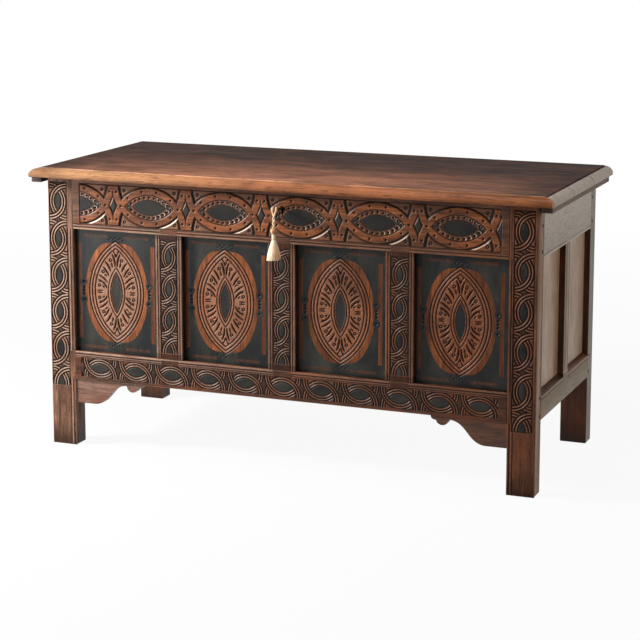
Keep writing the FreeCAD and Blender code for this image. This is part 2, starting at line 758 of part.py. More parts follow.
lock_nails = [nail(V(x, deep(lock_nail_start), z), -Y_AXIS, nail_length) for x, z in lock_nail_places]
save("carcass_iron_nails", Part.makeCompound(plate_nails + lock_nails))

bolt = box((key_place - bolt_tip, key_place + bolt_tail), (deep(bolt_front), deep(bolt_back)),
           (bolt_bottom, bolt_top))
notch = box((key_place - bolt_notch_half, key_place + bolt_notch_half), (deep(bolt_front), deep(bolt_back)),
            (bolt_top - bolt_notch_depth, bolt_top))
save("lock_bolt", cut(bolt, [notch]))

staple = box((staple_x - staple_thickness / 2, staple_x + staple_thickness / 2),
             (deep(staple_front), deep(staple_back)), (staple_bottom, lid_bottom))
foot = box((staple_x - staple_foot_length / 2, staple_x + staple_foot_length / 2),
           (deep(staple_front), deep(staple_back)), (strap_bottom, lid_bottom))
eye = box((staple_x - staple_thickness, staple_x + staple_thickness), (deep(bolt_front), deep(bolt_back)),
          (bolt_bottom, bolt_top), staple_clearance)
save("lid_staple", cut(staple.fuse(foot), [eye] + strap_nail_holes))

# Key: a ring bow, a turned collar, a round shank and a flat bit that hangs down at rest

bow_middle = key_reach - bow_radius - bow_bar_radius
bow = Part.makeTorus(bow_radius, bow_bar_radius, V(key_place, deep(-bow_middle), key_height), X_AXIS)
collar_start = bow_middle - bow_radius
key = bow.fuse(rod(V(key_place, deep(-collar_start), key_height), Y_AXIS, shank_radius,
                   collar_start + shank_end))
key = key.fuse(rod(V(key_place, deep(-collar_start + bow_bar_radius), key_height), Y_AXIS, collar_radius,
                   collar_length))
bit = box((key_place - bit_thickness / 2, key_place + bit_thickness / 2),
          (deep(bit_start), deep(bit_start + bit_length)), (key_height - bit_reach, key_height))
save("key", key.fuse(bit))

# Tassel: a cord looped round the bow, with both its ends in a knot over a skirt of threads

cord_top = key_height + cord_above_key
knot_top = cord_top - cord_span
knot_middle = knot_top - math.sqrt(knot_radius ** 2 - knot_flat_radius ** 2)
tassel_y = deep(-key_reach - cord_diameter / 2 - cord_gap)
cord_points = [V(key_place + 2.4, tassel_y, knot_top),
               V(key_place + 2.4, tassel_y, key_height - 7.0),
               V(key_place + 9.2, tassel_y + 1.5, key_height + 9.4),
               V(key_place + 9.2, tassel_y + 10.8, key_height + 2.4),
               V(key_place - 9.2, tassel_y + 10.0, key_height + 1.6),
               V(key_place - 9.4, tassel_y + 2.0, key_height + 8.2),
               V(key_place - 2.4, tassel_y, key_height - 5.0),
               V(key_place - 2.4, tassel_y, knot_top)]


def cord_path(points):
    """Straight runs joined by tangent arcs, each as large as its two runs allow."""
    edges = []
    radii = []
    start = points[0]
    for before, here, after in zip(points, points[1:], points[2:]):
        back, ahead = before - here, after - here
        turn = math.pi - back.getAngle(ahead)
        reach = 0.45 * min(back.Length, ahead.Length)
        radius = reach / math.tan(turn / 2)
        radii.append(round(radius, 1))
        back.normalize()
        ahead.normalize()
        inward = (back + ahead).normalize()
        arc_start, arc_end = here + back * reach, here + ahead * reach
        arc_middle = here + inward * (radius / math.cos(turn / 2) - radius)
        edges.append(Part.LineSegment(start, arc_start).toShape())
        edges.append(Part.Arc(arc_start, arc_middle, arc_end).toShape())
        start = arc_end
    edges.append(Part.LineSegment(start, points[-1]).toShape())
    return Part.Wire(edges), radii


path, radii = cord_path(cord_points)
start_direction = cord_points[1] - cord_points[0]
section = Part.Wire([Part.makeCircle(cord_diameter / 2, cord_points[0], start_direction)])
cord = path.makePipeShell([section], True, False)
save("tassel_cord", cord)
section_area = math.pi * cord_diameter ** 2 / 4
print("cord radii", radii, "length", round(path.Length, 1),
      "volume over section times length", round(cord.Volume / (section_area * path.Length), 4))

knot = Part.makeSphere(knot_radius, V(key_place, tassel_y, knot_middle))
flat = 2 * math.sqrt(knot_radius ** 2 - knot_flat_radius ** 2)
slice_low = knot_middle - flat / 2
knot = knot.common(box((key_place - knot_radius, key_place + knot_radius),
                       (tassel_y - knot_radius, tassel_y + knot_radius), (slice_low, knot_top)))
save("tassel_knot", knot)

skirt_bottom = cord_top - tassel_length
waist = slice_low - neck_length
outline = [V(key_place, tassel_y, slice_low), V(key_place + neck_radius, tassel_y, slice_low),
           V(key_place + waist_radius, tassel_y, waist),
           V(key_place + skirt_shoulder_radius, tassel_y, skirt_bottom + skirt_shoulder_height),
           V(key_place + skirt_radius, tassel_y, skirt_bottom), V(key_place, tassel_y, skirt_bottom)]
skirt = Part.Face(Part.makePolygon(outline + outline[:1]))
save("tassel_skirt", skirt.revolve(V(key_place, tassel_y, 0), Z_AXIS, 360))
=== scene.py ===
import functools
import math
import random

import bmesh
import bpy
import numpy as np
from mathutils import Matrix, Vector


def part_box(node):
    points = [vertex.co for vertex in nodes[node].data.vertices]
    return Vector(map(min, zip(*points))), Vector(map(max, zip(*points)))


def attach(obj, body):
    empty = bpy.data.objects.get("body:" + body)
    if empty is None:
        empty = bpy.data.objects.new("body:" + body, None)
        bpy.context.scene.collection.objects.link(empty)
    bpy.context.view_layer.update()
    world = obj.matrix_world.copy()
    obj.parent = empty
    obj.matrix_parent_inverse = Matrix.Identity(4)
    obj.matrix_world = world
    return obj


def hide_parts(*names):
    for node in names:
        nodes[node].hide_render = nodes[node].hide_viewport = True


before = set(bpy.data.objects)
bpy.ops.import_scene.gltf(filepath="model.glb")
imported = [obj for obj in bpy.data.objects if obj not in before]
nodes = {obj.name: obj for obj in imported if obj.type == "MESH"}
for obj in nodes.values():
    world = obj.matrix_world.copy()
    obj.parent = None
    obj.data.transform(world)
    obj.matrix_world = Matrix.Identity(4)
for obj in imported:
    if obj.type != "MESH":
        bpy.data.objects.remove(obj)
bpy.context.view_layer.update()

mm = 0.001


# Camera: a long lens, to the right of the chest and a little above its lid. Its shift keeps the uprights
# of the chest nearly upright.

camera = bpy.data.objects.new("camera", bpy.data.cameras.new("camera"))
bpy.context.scene.collection.objects.link(camera)
camera.data.sensor_width = 36
camera.data.lens = 108.7
camera.data.shift_y = -0.15
camera.location = (1.959, -4.903, 1.518)
camera.rotation_euler = (math.radians(90 - 9.6), 0, math.radians(21.79))
bpy.context.scene.camera = camera


# Tassel cord: two plies of cream silk laid round each other. It loops round the bow of the key, and its
# two legs twist together down to the knot.

cord_route = [(0.2, -335.4, 665.5), (3.0, -338.2, 671.5), (6.0, -335.4, 677.5), (3.0, -332.6, 683.5),
              (0.0, -335.4, 689.5), (3.0, -338.2, 695.5), (6.0, -336.2, 701.5), (7.8, -334.6, 709.5),
              (9.2, -333.2, 719.0), (8.0, -328.6, 721.2), (6.2, -325.2, 716.4), (0.8, -325.0, 713.8),
              (-2.6, -327.0, 718.6), (-3.0, -331.4, 720.4), (-2.4, -334.2, 712.0), (0.4, -335.0, 702.0),
              (3.0, -333.4, 695.5), (6.0, -335.4, 689.5), (3.0, -338.2, 683.5), (0.0, -335.4, 677.5),
              (3.0, -332.6, 671.5), (5.8, -335.4, 665.5)]
cord_steps = 220
ply_radius = 1.22 * mm
ply_offset = 0.98 * mm
lay_length = 9.0 * mm


def route_line(points, steps):
    """Even points along the smooth line that a cord follows, and its length."""
    curve = bpy.data.curves.new("cord_route", "CURVE")
    curve.dimensions = "3D"
    curve.resolution_u = 16
    spline = curve.splines.new("NURBS")
    spline.points.add(len(points) - 1)
    for point, place in zip(spline.points, points):
        point.co = (*(Vector(place) * mm), 1)
    spline.order_u = 3
    spline.use_endpoint_u = True
    bare = bpy.data.objects.new("cord_route", curve)
    mesh = bpy.data.meshes.new_from_object(bare)
    line = np.array([vertex.co for vertex in mesh.vertices])
    bpy.data.objects.remove(bare)
    bpy.data.meshes.remove(mesh)
    run = np.concatenate([[0], np.cumsum(np.linalg.norm(np.diff(line, axis=0), axis=1))])
    places = np.linspace(0, run[-1], steps)
    return np.stack([np.interp(places, run, line[:, axis]) for axis in range(3)], axis=1), run[-1]


def tube(name, lines, radius, sides=2):
    """The mesh of round strands along lines of points, with closed ends."""
    curve = bpy.data.curves.new(name, "CURVE")
    curve.dimensions = "3D"
    curve.bevel_depth = radius
    curve.bevel_resolution = sides
    curve.use_fill_caps = True
    for line in lines:
        spline = curve.splines.new("POLY")
        spline.points.add(len(line) - 1)
        spline.points.foreach_set("co", np.column_stack([line, np.ones(len(line))]).ravel())
    strand = bpy.data.objects.new(name, curve)
    mesh = bpy.data.meshes.new_from_object(strand)
    bpy.data.objects.remove(strand)
    mesh.shade_smooth()
    return mesh


def plies(line, length):
    """The two strands that wind round a line, half a turn apart."""
    ahead = np.gradient(line, axis=0)
    ahead /= np.linalg.norm(ahead, axis=1)[:, None]
    side = np.zeros_like(line)
    side[0] = np.cross(ahead[0], (0, 1, 0))
    for here in range(len(line)):
        before = side[max(here - 1, 0)]
        side[here] = before - ahead[here] * before.dot(ahead[here])
        side[here] /= np.linalg.norm(side[here])
    up = np.cross(ahead, side)
    turn = np.linspace(0, 2 * math.pi * length / lay_length, len(line))
    strands = []
    for start in (0, math.pi):
        out = side * np.cos(turn + start)[:, None] + up * np.sin(turn + start)[:, None]
        strands.append(line + out * ply_offset)
    return strands


def fitted(name, mesh, material, body, node=None):
    """A finished mesh as a piece with its material, riding on its body. node is what it stands for."""
    piece = bpy.data.objects.new(name, mesh)
    bpy.context.scene.collection.objects.link(piece)
    mesh.materials.append(material)
    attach(piece, body)
    if node:
        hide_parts(node)
    return piece


def srgb(red, green, blue):
    """A colour for a shader, from its values on a screen."""
    def linear(value):
        value /= 255
        return value / 12.92 if value <= 0.04045 else ((value + 0.055) / 1.055) ** 2.4
    return (linear(red), linear(green), linear(blue), 1)


class Finish:
    """The nodes of one material, or of the world. Each call adds a node, and its values are numbers,
    colours or what other nodes give."""

    def __init__(self, name, world=False):
        self.owner = (bpy.data.worlds if world else bpy.data.materials).new(name)
        self.owner.use_nodes = True
        self.tree = self.owner.node_tree
        self.tree.nodes.clear()
        self.output = self.add("OutputWorld" if world else "OutputMaterial")

    def feed(self, node, values):
        for socket, value in values.items():
            if isinstance(value, bpy.types.NodeSocket):
                self.tree.links.new(value, node.inputs[socket])
            else:
                node.inputs[socket].default_value = value

    def add(self, kind, values=None, **settings):
        node = self.tree.nodes.new("ShaderNode" + kind)
        for key, value in settings.items():
            setattr(node, key, value)
        self.feed(node, values or {})
        return node

    def place(self):
        """Where a spot lies on the chest."""
        return self.add("TexCoord").outputs["Object"]

    def noise(self, place, scale, detail, distortion=0.0, roughness=0.5):
        spread = self.add("Mapping", {"Vector": place, "Scale": scale}).outputs[0]
        fibres = self.add("TexNoise", {"Vector": spread, "Scale": 1.0, "Detail": detail,
                                       "Distortion": distortion, "Roughness": roughness})
        return fibres.outputs["Fac"]

    def blend(self, share, first, second):
        return self.add("Mix", {0: share, 6: first, 7: second}, data_type="RGBA").outputs[2]

    def stretch(self, value, low, high, start=0.0, end=1.0):
        """start below low, end above high, and even between them."""
        return self.add("MapRange", {"Value": value, "From Min": low, "From Max": high, "To Min": start,
                                     "To Max": end}).outputs[0]

    def tones(self, value, *stops):
        """Two colours, each from its own level of the value."""
        scale = self.add("ValToRGB", {"Fac": value})
        for element, (level, colour) in zip(scale.color_ramp.elements, stops):
            element.position, element.color = level, colour
        return scale.outputs[0]

    def reckon(self, operation, first, second=0.0, clamp=False):
        node = self.add("Math", {0: first, 1: second}, operation=operation, use_clamp=clamp)
        return node.outputs[0]

    def plus(self, first, second):
        return self.reckon("ADD", first, second, clamp=True)

    def times(self, first, second):
        return self.reckon("MULTIPLY", first, second, clamp=True)

    def apart(self, value, place):
        """How far a value is from a place, to either side."""
        return self.reckon("ABSOLUTE", self.reckon("SUBTRACT", value, place))

    def bump(self, height, strength, distance):
        return self.add("Bump", {"Height": height, "Strength": strength, "Distance": distance}).outputs[0]

    def surface(self, values):
        """The material, its surface made with these values."""
        shader = self.add("BsdfPrincipled", values)
        self.feed(self.output, {0: shader.outputs[0]})
        return self.owner


def silk(name, light, shade, across=(900, 900, 260), second=None):
    """Soft silk thread: fine fibres, a warm shade in the hollows and a dull sheen. second gives a painted
    shade
    on one side of the piece: its colour, and from where to where along X it takes over."""
    thread = Finish(name)
    place = thread.place()
    fibre = thread.noise(place, across, 3.0)
    colour = thread.tones(fibre, (0.3, shade), (0.62, light))
    if second:
        # A painted shade on one side of the piece.
        shaded_side_colour, start, end = second
        across_piece = thread.add("SeparateXYZ", {"Vector": place}).outputs["X"]
        colour = thread.blend(thread.stretch(across_piece, start, end, 0.0, 0.9), colour, shaded_side_colour)
    return thread.surface({"Base Color": colour, "Normal": thread.bump(fibre, 0.5, 0.2 * mm),
                           "Roughness": 0.62, "Sheen Weight": 0.35, "Sheen Roughness": 0.4,
                           "Specular IOR Level": 0.3})


cream_silk = silk("cream_silk", srgb(240, 214, 180), srgb(186, 140, 98))
cord_line, cord_length = route_line(cord_route, cord_steps)
tassel_cord = fitted("silk_cord", tube("silk_cord", plies(cord_line, cord_length), ply_radius), cream_silk,
                     "tassel", node="tassel_cord")


# Tassel knot: a ball worked over a core in slanting turns of the same cord. It is flattened at the top and
# below, and its right side is painted brown, a painted shade.

knot_centre = Vector((3.0, -335.0, 658.0)) * mm
knot_radius = 9.0 * mm
knot_flat = 7.45 * mm
knot_turns = 9
knot_slant = 3.2
knot_silk = silk("knot_silk", srgb(228, 196, 156), srgb(180, 134, 90),
                 second=(srgb(150, 90, 44), -3.5 * mm, 2 * mm))


def finished(bm, name, smooth=True):
    """The mesh of a bmesh, smooth unless told otherwise."""
    mesh = bpy.data.meshes.new(name)
    bm.to_mesh(mesh)
    bm.free()
    if smooth:
        mesh.shade_smooth()
    return mesh


bm = bmesh.new()
bmesh.ops.create_uvsphere(bm, u_segments=96, v_segments=56, radius=knot_radius)
for vertex in bm.verts:
    place = vertex.co.copy()
    around = math.atan2(place.y, place.x)
    height = place.z / knot_radius
    slant = abs(math.sin(knot_turns * around / 2 + knot_slant * height))
    other = abs(math.sin(knot_turns * around / 2 - knot_slant * height))
    woven = max(slant if math.sin(knot_turns * around) > 0 else 0.8 * slant, 0.85 * other)
    vertex.co = place * (0.88 + 0.1 * woven * math.sqrt(max(1 - height ** 2, 0)))
    vertex.co.z = max(-knot_flat, min(knot_flat, vertex.co.z))
bmesh.ops.translate(bm, verts=bm.verts, vec=knot_centre)
tassel_knot = fitted("silk_knot", finished(bm, "silk_knot"), knot_silk, "tassel",
                     node="tassel_knot")


# Tassel skirt: threads laid over the knot's end, bound at the neck and cut off below, a little askew.
# They hang in three rings round a soft core.

skirt_axis = Vector((3.0, -335.0, 0.0)) * mm
skirt_top = 650.5 * mm
neck_height = 636.5 * mm
skirt_bottom = 580.0 * mm
top_radius = 6.0 * mm
neck_radius = 4.6 * mm
skirt_radius = 19.4 * mm
thread_radius = 0.62 * mm
thread_rings = ((150, 1.0), (90, 0.86), (60, 0.66))
thread_rows = 11
skirt_slant = 0.07
core_bottom = skirt_bottom + 3 * mm
core_share = 0.86
binding_turns, binding_steps = 6, 240
binding_start, binding_height = -1.5 * mm, 6.5 * mm
random.seed(7)


def round_skirt(reach, turn, height):
    """A place at a distance from the skirt's axis."""
    return skirt_axis + Vector((reach * math.cos(turn), reach * math.sin(turn), height))


def skirt_reach(height):
    """How far the outer threads stand from the axis: gathered at the neck, then out in a bell."""
    if height > neck_height:
        rise = (height - neck_height) / (skirt_top - neck_height)
        return neck_radius + (top_radius - neck_radius) * rise
    fall = (neck_height - height) / (neck_height - skirt_bottom)
    bell = math.sin(fall * math.pi / 2) ** 0.95 * (0.86 + 0.14 * fall)
    return neck_radius + (skirt_radius - neck_radius) * bell


threads = []
for count, share in thread_rings:
    for n in range(count):
        angle = 2 * math.pi * (n + random.uniform(-0.3, 0.3)) / count
        wander = random.uniform(-0.05, 0.05)
        length = random.uniform(0.965, 1.0) - skirt_slant * (1 + math.cos(angle)) / 2
        lift = random.uniform(0.95, 1.0)
        start = skirt_top if share == 1.0 else neck_height
        line = []
        for row in range(thread_rows):
            fall = row / (thread_rows - 1)
            height = start + (skirt_bottom - start) * fall * length
            reach = skirt_reach(height) * share * (lift if fall > 0.4 else 1.0) - thread_radius
            turn = angle + wander * fall ** 2
            line.append(round_skirt(reach, turn, height))
        threads.append(np.array(line))
bm = bmesh.new()
bm.from_mesh(tube("silk_skirt", threads, thread_radius, sides=1))
core = bmesh.ops.create_cone(bm, cap_ends=True, segments=40, radius1=0.9 * skirt_radius,
                             radius2=0.5 * neck_radius, depth=neck_height - core_bottom)["verts"]
bmesh.ops.scale(bm, verts=core, vec=(core_share, core_share, 1))
bmesh.ops.translate(bm, verts=core, vec=skirt_axis + Vector((0, 0, (neck_height + core_bottom) / 2)))
# The second colour on the skirt's right side is a painted shade.
skirt_silk = silk("skirt_silk", srgb(250, 232, 206), srgb(214, 172, 130), (1500, 1500, 60),
                  second=(srgb(214, 160, 112), 2 * mm, 22 * mm))
tassel_skirt = fitted("silk_skirt", finished(bm, "silk_skirt"), skirt_silk, "tassel",
                      node="tassel_skirt")

binding_line = []
for step in range(binding_steps + 1):
    turn = 2 * math.pi * binding_turns * step / binding_steps
    height = neck_height + binding_start + binding_height * step / binding_steps
    reach = skirt_reach(max(height, neck_height)) + 0.1 * mm
    binding_line.append(round_skirt(reach, turn, height))
neck_binding = fitted("neck_binding", tube("neck_binding", [np.array(binding_line)], 0.6 * mm), cream_silk,
                      "tassel")


# Oak of the whole chest: riven boards stained dark and waxed for a long time. Rubbed arrises are lighter,
# cuts hold black dirt, and the carver's grounds are filled with a slate-black stain. Rubbed wood is painted
# paler towards the left and darker to the right, a painted light and shade, and its brightest places take a
# painted glint colour.

grain_turn = {"x": (0, 0, 0), "y": (0, 0, -math.pi / 2), "z": (0, math.pi / 2, 0)}
dirt_and_shade_colour = srgb(15, 7, 4)
slate_light, slate_dark = srgb(49, 47, 42), srgb(27, 28, 28)
rubbed_lit_left, rubbed_shaded_right = srgb(190, 158, 137), srgb(150, 102, 76)
painted_glint_colour = srgb(226, 206, 184)
bare_light, bare_dark = srgb(163, 94, 50), srgb(68, 34, 17)
russet_colour = srgb(120, 64, 36)
foot_height = 75 * mm
wax_roughness = 0.31


def waxed_oak(name, along, light, dark, seed, gloss=0.36, shine=0.05, polish=0.3, russet=0.45, wear_and_highlight_bands=(),
              ends=None, seams=(), wander=0.5 * mm, arris=None, inked=True):
    """Stained oak with its grain along one axis, and darker towards the floor at the foot of what stands on
    it.
    handled: bands that hands have rubbed, each with its colour at the left and further right, where it
    begins and ends from front to back, and how much of it is left at the two ends of the board. Where the
    colour at the left is paler, it is a painted highlight.
    ends: the colour of a dry end or of an outer face, darkened on the cleats as a painted shade, how far
    from the middle it begins, and for a moulding its mitre.
    seams: joints that show across the board as dark lines, which wander to each side.
    arris: the colour of a thin painted highlight line, and its place from front to back.
    inked: whether the mesh has the carving attribute, which holds how much of the slate-black staining, the
    grime and painted shade, the rubbing and painted highlights, and the bare orange-brown wood a place has,
    in this order."""
    oak = Finish(name)
    blend, stretch, plus, times = oak.blend, oak.stretch, oak.plus, oak.times
    place = oak.place()
    where = oak.add("SeparateXYZ", {"Vector": place}).outputs
    from_middle = oak.apart(where["X"], 0.0)
    shift = (0.37 * seed, 0.61 * seed, 0.83 * seed)
    lie = oak.add("Mapping", {"Vector": place, "Rotation": grain_turn[along], "Location": shift})

    def grain(scale, detail, distortion=0.0):
        return oak.noise(lie.outputs[0], scale, detail, distortion, 0.55)

    figure = grain((3.2, 52, 52), 4.0, 1.4)
    streaks = grain((9, 190, 190), 4.0)
    flecks = grain((24, 420, 420), 2.0)
    pores = grain((70, 1500, 1500), 1.0)
    patina = grain((7, 13, 13), 3.0, 0.8)
    tone = plus(stretch(figure, 0.34, 0.66, 0.0, 0.6), stretch(streaks, 0.34, 0.66, 0.0, 0.4))
    wood = blend(tone, dark, light)
    wood = blend(stretch(patina, 0.4, 0.66, 0.0, 0.65), wood, dark)
    wood = blend(stretch(grain((4, 9, 9), 3.0, 1.0), 0.5, 0.66, 0.0, russet), wood, russet_colour)
    # Darker towards the floor, below foot_height.
    wood = blend(stretch(where["Z"], 0.0, foot_height, 0.8, 0.0), wood, dirt_and_shade_colour)
    if ends:
        end_face_colour, end_face_start, *mitres = ends
        pale = stretch(from_middle, end_face_start - 1 * mm, end_face_start + 1 * mm)
        for mitre in mitres:
            aslant = oak.reckon("ADD", from_middle, where["Y"])
            pale = times(pale, stretch(aslant, mitre - 1 * mm, mitre + 1 * mm))
        wood = blend(times(pale, stretch(figure, 0.3, 0.7, 0.8, 1.0)), wood, end_face_colour)
    # Rubbed bands; where the colour at the left is paler, it is a painted highlight.
    for left_colour, right_colour, front, back, at_ends in wear_and_highlight_bands:
        wear_and_highlight = stretch(where["Y"], front, back, 1.0, 0.0)
        wear_and_highlight = times(wear_and_highlight, stretch(from_middle, 0.2, 0.6, 1.0, 0.5 + 0.5 * at_ends))
        wear_and_highlight = times(wear_and_highlight, stretch(from_middle, 0.6, 0.7, 1.0, at_ends))
        wear_and_highlight = times(wear_and_highlight, stretch(streaks, 0.25, 0.7, 0.45, 1.0))
        wear_and_highlight = times(wear_and_highlight, stretch(patina, 0.3, 0.7, 1.0, 0.35))
        wood = blend(wear_and_highlight, wood, blend(stretch(where["X"], -0.6, 0.1), left_colour, right_colour))
    if arris:
        # A thin painted highlight line.
        line = stretch(oak.apart(where["Y"], arris[1]), 0.7 * mm, 1.6 * mm, 1.0, 0.0)
        wood = blend(times(line, stretch(patina, 0.3, 0.6, 1.0, 0.3)), wood, arris[0])
    for seam in seams:
        bent = oak.reckon("ADD", where["Y"], stretch(patina, 0.0, 1.0, -wander, wander))
        wood = blend(stretch(oak.apart(bent, seam), 0.8 * mm, 2.0 * mm, 0.9, 0.0), wood, dirt_and_shade_colour)
    carving = oak.add("Attribute", attribute_name="carving").outputs
    inks = oak.add("SeparateColor", {"Color": carving["Color"]}).outputs
    slate, dirt_and_shade, rub_and_highlight, bare = inks["Red"], inks["Green"], inks["Blue"], carving["Alpha"]
    if inked:
        bare = times(bare, stretch(patina, 0.38, 0.6, 1.0, 0.4))
        wood = blend(bare, wood, blend(tone, bare_dark, bare_light))
        # Rubbed wood is painted paler and in a larger share towards the left, a painted highlight, and
        # darker to the right, a painted shade.
        rubbed = times(rub_and_highlight, stretch(patina, 0.3, 0.62, 0.25, 0.8))
        rubbed = times(rubbed, stretch(where["X"], -0.3, 0.7, 1.0, 0.58))
        wood = blend(rubbed, wood, blend(stretch(where["X"], -0.75, 0.4), rubbed_lit_left, rubbed_shaded_right))
        # Where the rubbing is strongest, a painted glint colour: a painted highlight.
        wood = blend(stretch(rub_and_highlight, 0.91, 1.0, 0.0, 0.75), wood, painted_glint_colour)
    wood = blend(stretch(flecks, 0.33, 0.42, 0.6, 0.0), wood, dirt_and_shade_colour)
    wood = blend(stretch(pores, 0.30, 0.38, 0.5, 0.0), wood, dirt_and_shade_colour)
    if inked:
        worn = stretch(plus(slate, stretch(streaks, 0.2, 0.8, -0.16, 0.16)), 0.3, 0.75)
        wood = blend(worn, wood, blend(stretch(patina, 0.4, 0.7), slate_dark, slate_light))
        wood = blend(dirt_and_shade, wood, dirt_and_shade_colour)
    rough = plus(stretch(patina, 0.3, 0.7, gloss - 0.07, gloss + 0.1), stretch(dirt_and_shade, 0.0, 1.0, 0.0, 0.2))
    relief = plus(stretch(streaks, 0.2, 0.8, 0.0, 0.6), stretch(pores, 0.3, 0.4, 0.0, 0.4))
    bump = oak.bump(relief, 0.5, 0.3 * mm)
    return oak.surface({"Base Color": wood, "Roughness": rough, "Normal": bump, "Coat Normal": bump,
                        "Specular IOR Level": shine, "Coat Weight": polish,
                        "Coat Roughness": wax_roughness})


# Carving of the front: gouges, a scratch stock and punches work the face of each oak board before it is
# framed. Sizes are millimetres on the face. A work holds the depth of the cuts and the inks of each place.

groove_half, groove_depth = 2.95, 2.3
crossing_depth = 0.4
face_depth = 4.5 * mm
touch = 0.02 * mm


def least(*values):
    return functools.reduce(np.minimum, values)


def most(*values):
    return functools.reduce(np.maximum, values)


def ramp(value, low, high):
    """0 below low, 1 above high, and smooth between them."""
    share = np.clip((value - low) / (high - low), 0, 1)
    return share * share * (3 - 2 * share)


def between(value, low, high):
    """1 from low to high, with ends 2 mm long."""
    return ramp(value, low - 1, low + 1) * ramp(-value, -high - 1, -high + 1)


def gouge(distance, half):
    """The round hollow that a gouge leaves: 1 on its line, 0 from half its width outward."""
    return np.clip(1 - (distance / half) ** 2, 0, 1)


def blank(x):
    """A work with nothing cut yet. Its names stand in the order of the carving attribute."""
    return {name: np.zeros_like(x) for name in ("cut", "slate", "dirt_and_shade", "rub_and_highlight", "bare")}


def lay(work, name, amount):
    """Brings the cut or one ink up to an amount, where it has less."""
    work[name] = most(work[name], amount)


def engrave(work, shape, depth, dirt_and_shade=1.0):
    """Cuts a shape, 0 to 1, to a depth. Dirt stays at its bottom, and its edges are rubbed."""
    lay(work, "cut", depth * shape)
    lay(work, "dirt_and_shade", least(dirt_and_shade * ramp(shape, 0.3, 0.85), 1))
    lay(work, "rub_and_highlight", 0.5 * ramp(shape, 0.0, 0.2) * (1 - ramp(shape, 0.25, 0.6)))


def ground(work, edge, depth, slate=0.0, dirt_and_shade=0.0):
    """Sinks the ground inside an outline, where edge is the distance in from it, and stains it."""
    lay(work, "cut", depth * ramp(edge, -0.3, 1.1))
    lay(work, "slate", slate * ramp(edge, 0.0, 1.0))
    lay(work, "dirt_and_shade", dirt_and_shade * ramp(edge, 0.0, 1.0))


def punch(work, x, z, places, radius, depth, ring=False):
    """Round punch marks, or rings with the middle left standing."""
    for px, pz in places:
        away = np.hypot(x - px, z - pz)
        mark = gouge(away - radius * 0.62, radius * 0.42) if ring else gouge(away, radius)
        engrave(work, mark, depth, 1.3)


def linked_loops(work, s, t, first, pitch, count, inner, outer, offset, over, gap_edge=1.0,
                 gaps=(-math.inf, math.inf)):
    """Interlaced bands along s: each loop is two compass arcs, struck from points on both sides of the
    band's centre line. A band is two ridges between three gouged furrows, and each arc runs on past the
    crossing to the far edge. The almonds inside the loops are sunk and stained slate-black, and the gaps
    beside the crossings, which start gap_edge from the furrow, are sunk, take some slate-black staining and
    are darkened with a painted shade."""
    nearest = np.clip(np.round((s - first) / pitch), 0, count - 1)
    u = s - first - nearest * pitch
    a = np.hypot(u, t + offset)
    b = np.hypot(u, t - offset)
    a_over = u * over > 0
    upper, lower = np.where(a_over, a, b), np.where(a_over, b, a)

    def furrows(radius):
        places = (inner, (inner + outer) / 2, outer)
        return most(*[gouge(radius - place, groove_half) for place in places])

    def on(radius):
        return (radius > inner - 0.8 * groove_half) & (radius < outer + 0.8 * groove_half)

    on_upper = on(upper)
    on_lower = on(lower) & ~on_upper
    shape = np.where(on_upper, furrows(upper), np.where(on_lower, furrows(lower), 0))
    engrave(work, shape, groove_depth)
    work["dirt_and_shade"] *= 1 - 0.55 * ramp(inner + 0.6 - most(a, b), -1.0, 1.0)
    aside = most(inner - upper, upper - outer, 0)
    work["cut"] += np.where(on_lower, crossing_depth * np.exp(-aside / 3.0), 0)
    lay(work, "rub_and_highlight", 0.9 * np.where(on_upper | on_lower, 1 - shape, 0) ** 2.6)
    almond = least(inner - a, inner - b)
    gap = np.where((s > gaps[0]) & (s < gaps[1]), least(a - outer, b - outer), -9)
    ground(work, almond + 0.4, 1.0, slate=1.0)
    # The gaps are stained and darkened with a painted shade.
    ground(work, gap - gap_edge, 1.2, slate=0.5, dirt_and_shade=0.4)


def framed(work, s, t, half, low, high, side, depth, end=None, dirt_and_shade=1.0):
    """Keeps a band's carving within its half width and between its ends, and cuts the lines round it. side
    and end are half the widths of the lines."""
    inside = (np.abs(t) < half) & (s > low) & (s < high)
    for name in work:
        work[name] = np.where(inside, work[name], 0)
    engrave(work, gouge(np.abs(t) - half, side) * between(s, low, high), depth, dirt_and_shade)
    if end:
        for place in (low, high):
            engrave(work, gouge(s - place, end) * ramp(half + 0.5 - np.abs(t), 0, 1), 1.8)


def pierce(grid, hole, reach):
    """Draws the points of a grid near a hole to its outline, and gives the faces inside it."""
    for vertex in grid:
        outside, x, z = hole(vertex.co.x / mm, vertex.co.z / mm)
        if abs(outside) < reach:
            vertex.co.x, vertex.co.z = x * mm, z * mm
    middles = {face: face.calc_center_median() for vertex in grid for face in vertex.link_faces}
    return [face for face, middle in middles.items() if hole(middle.x / mm, middle.z / mm)[0] < 0]


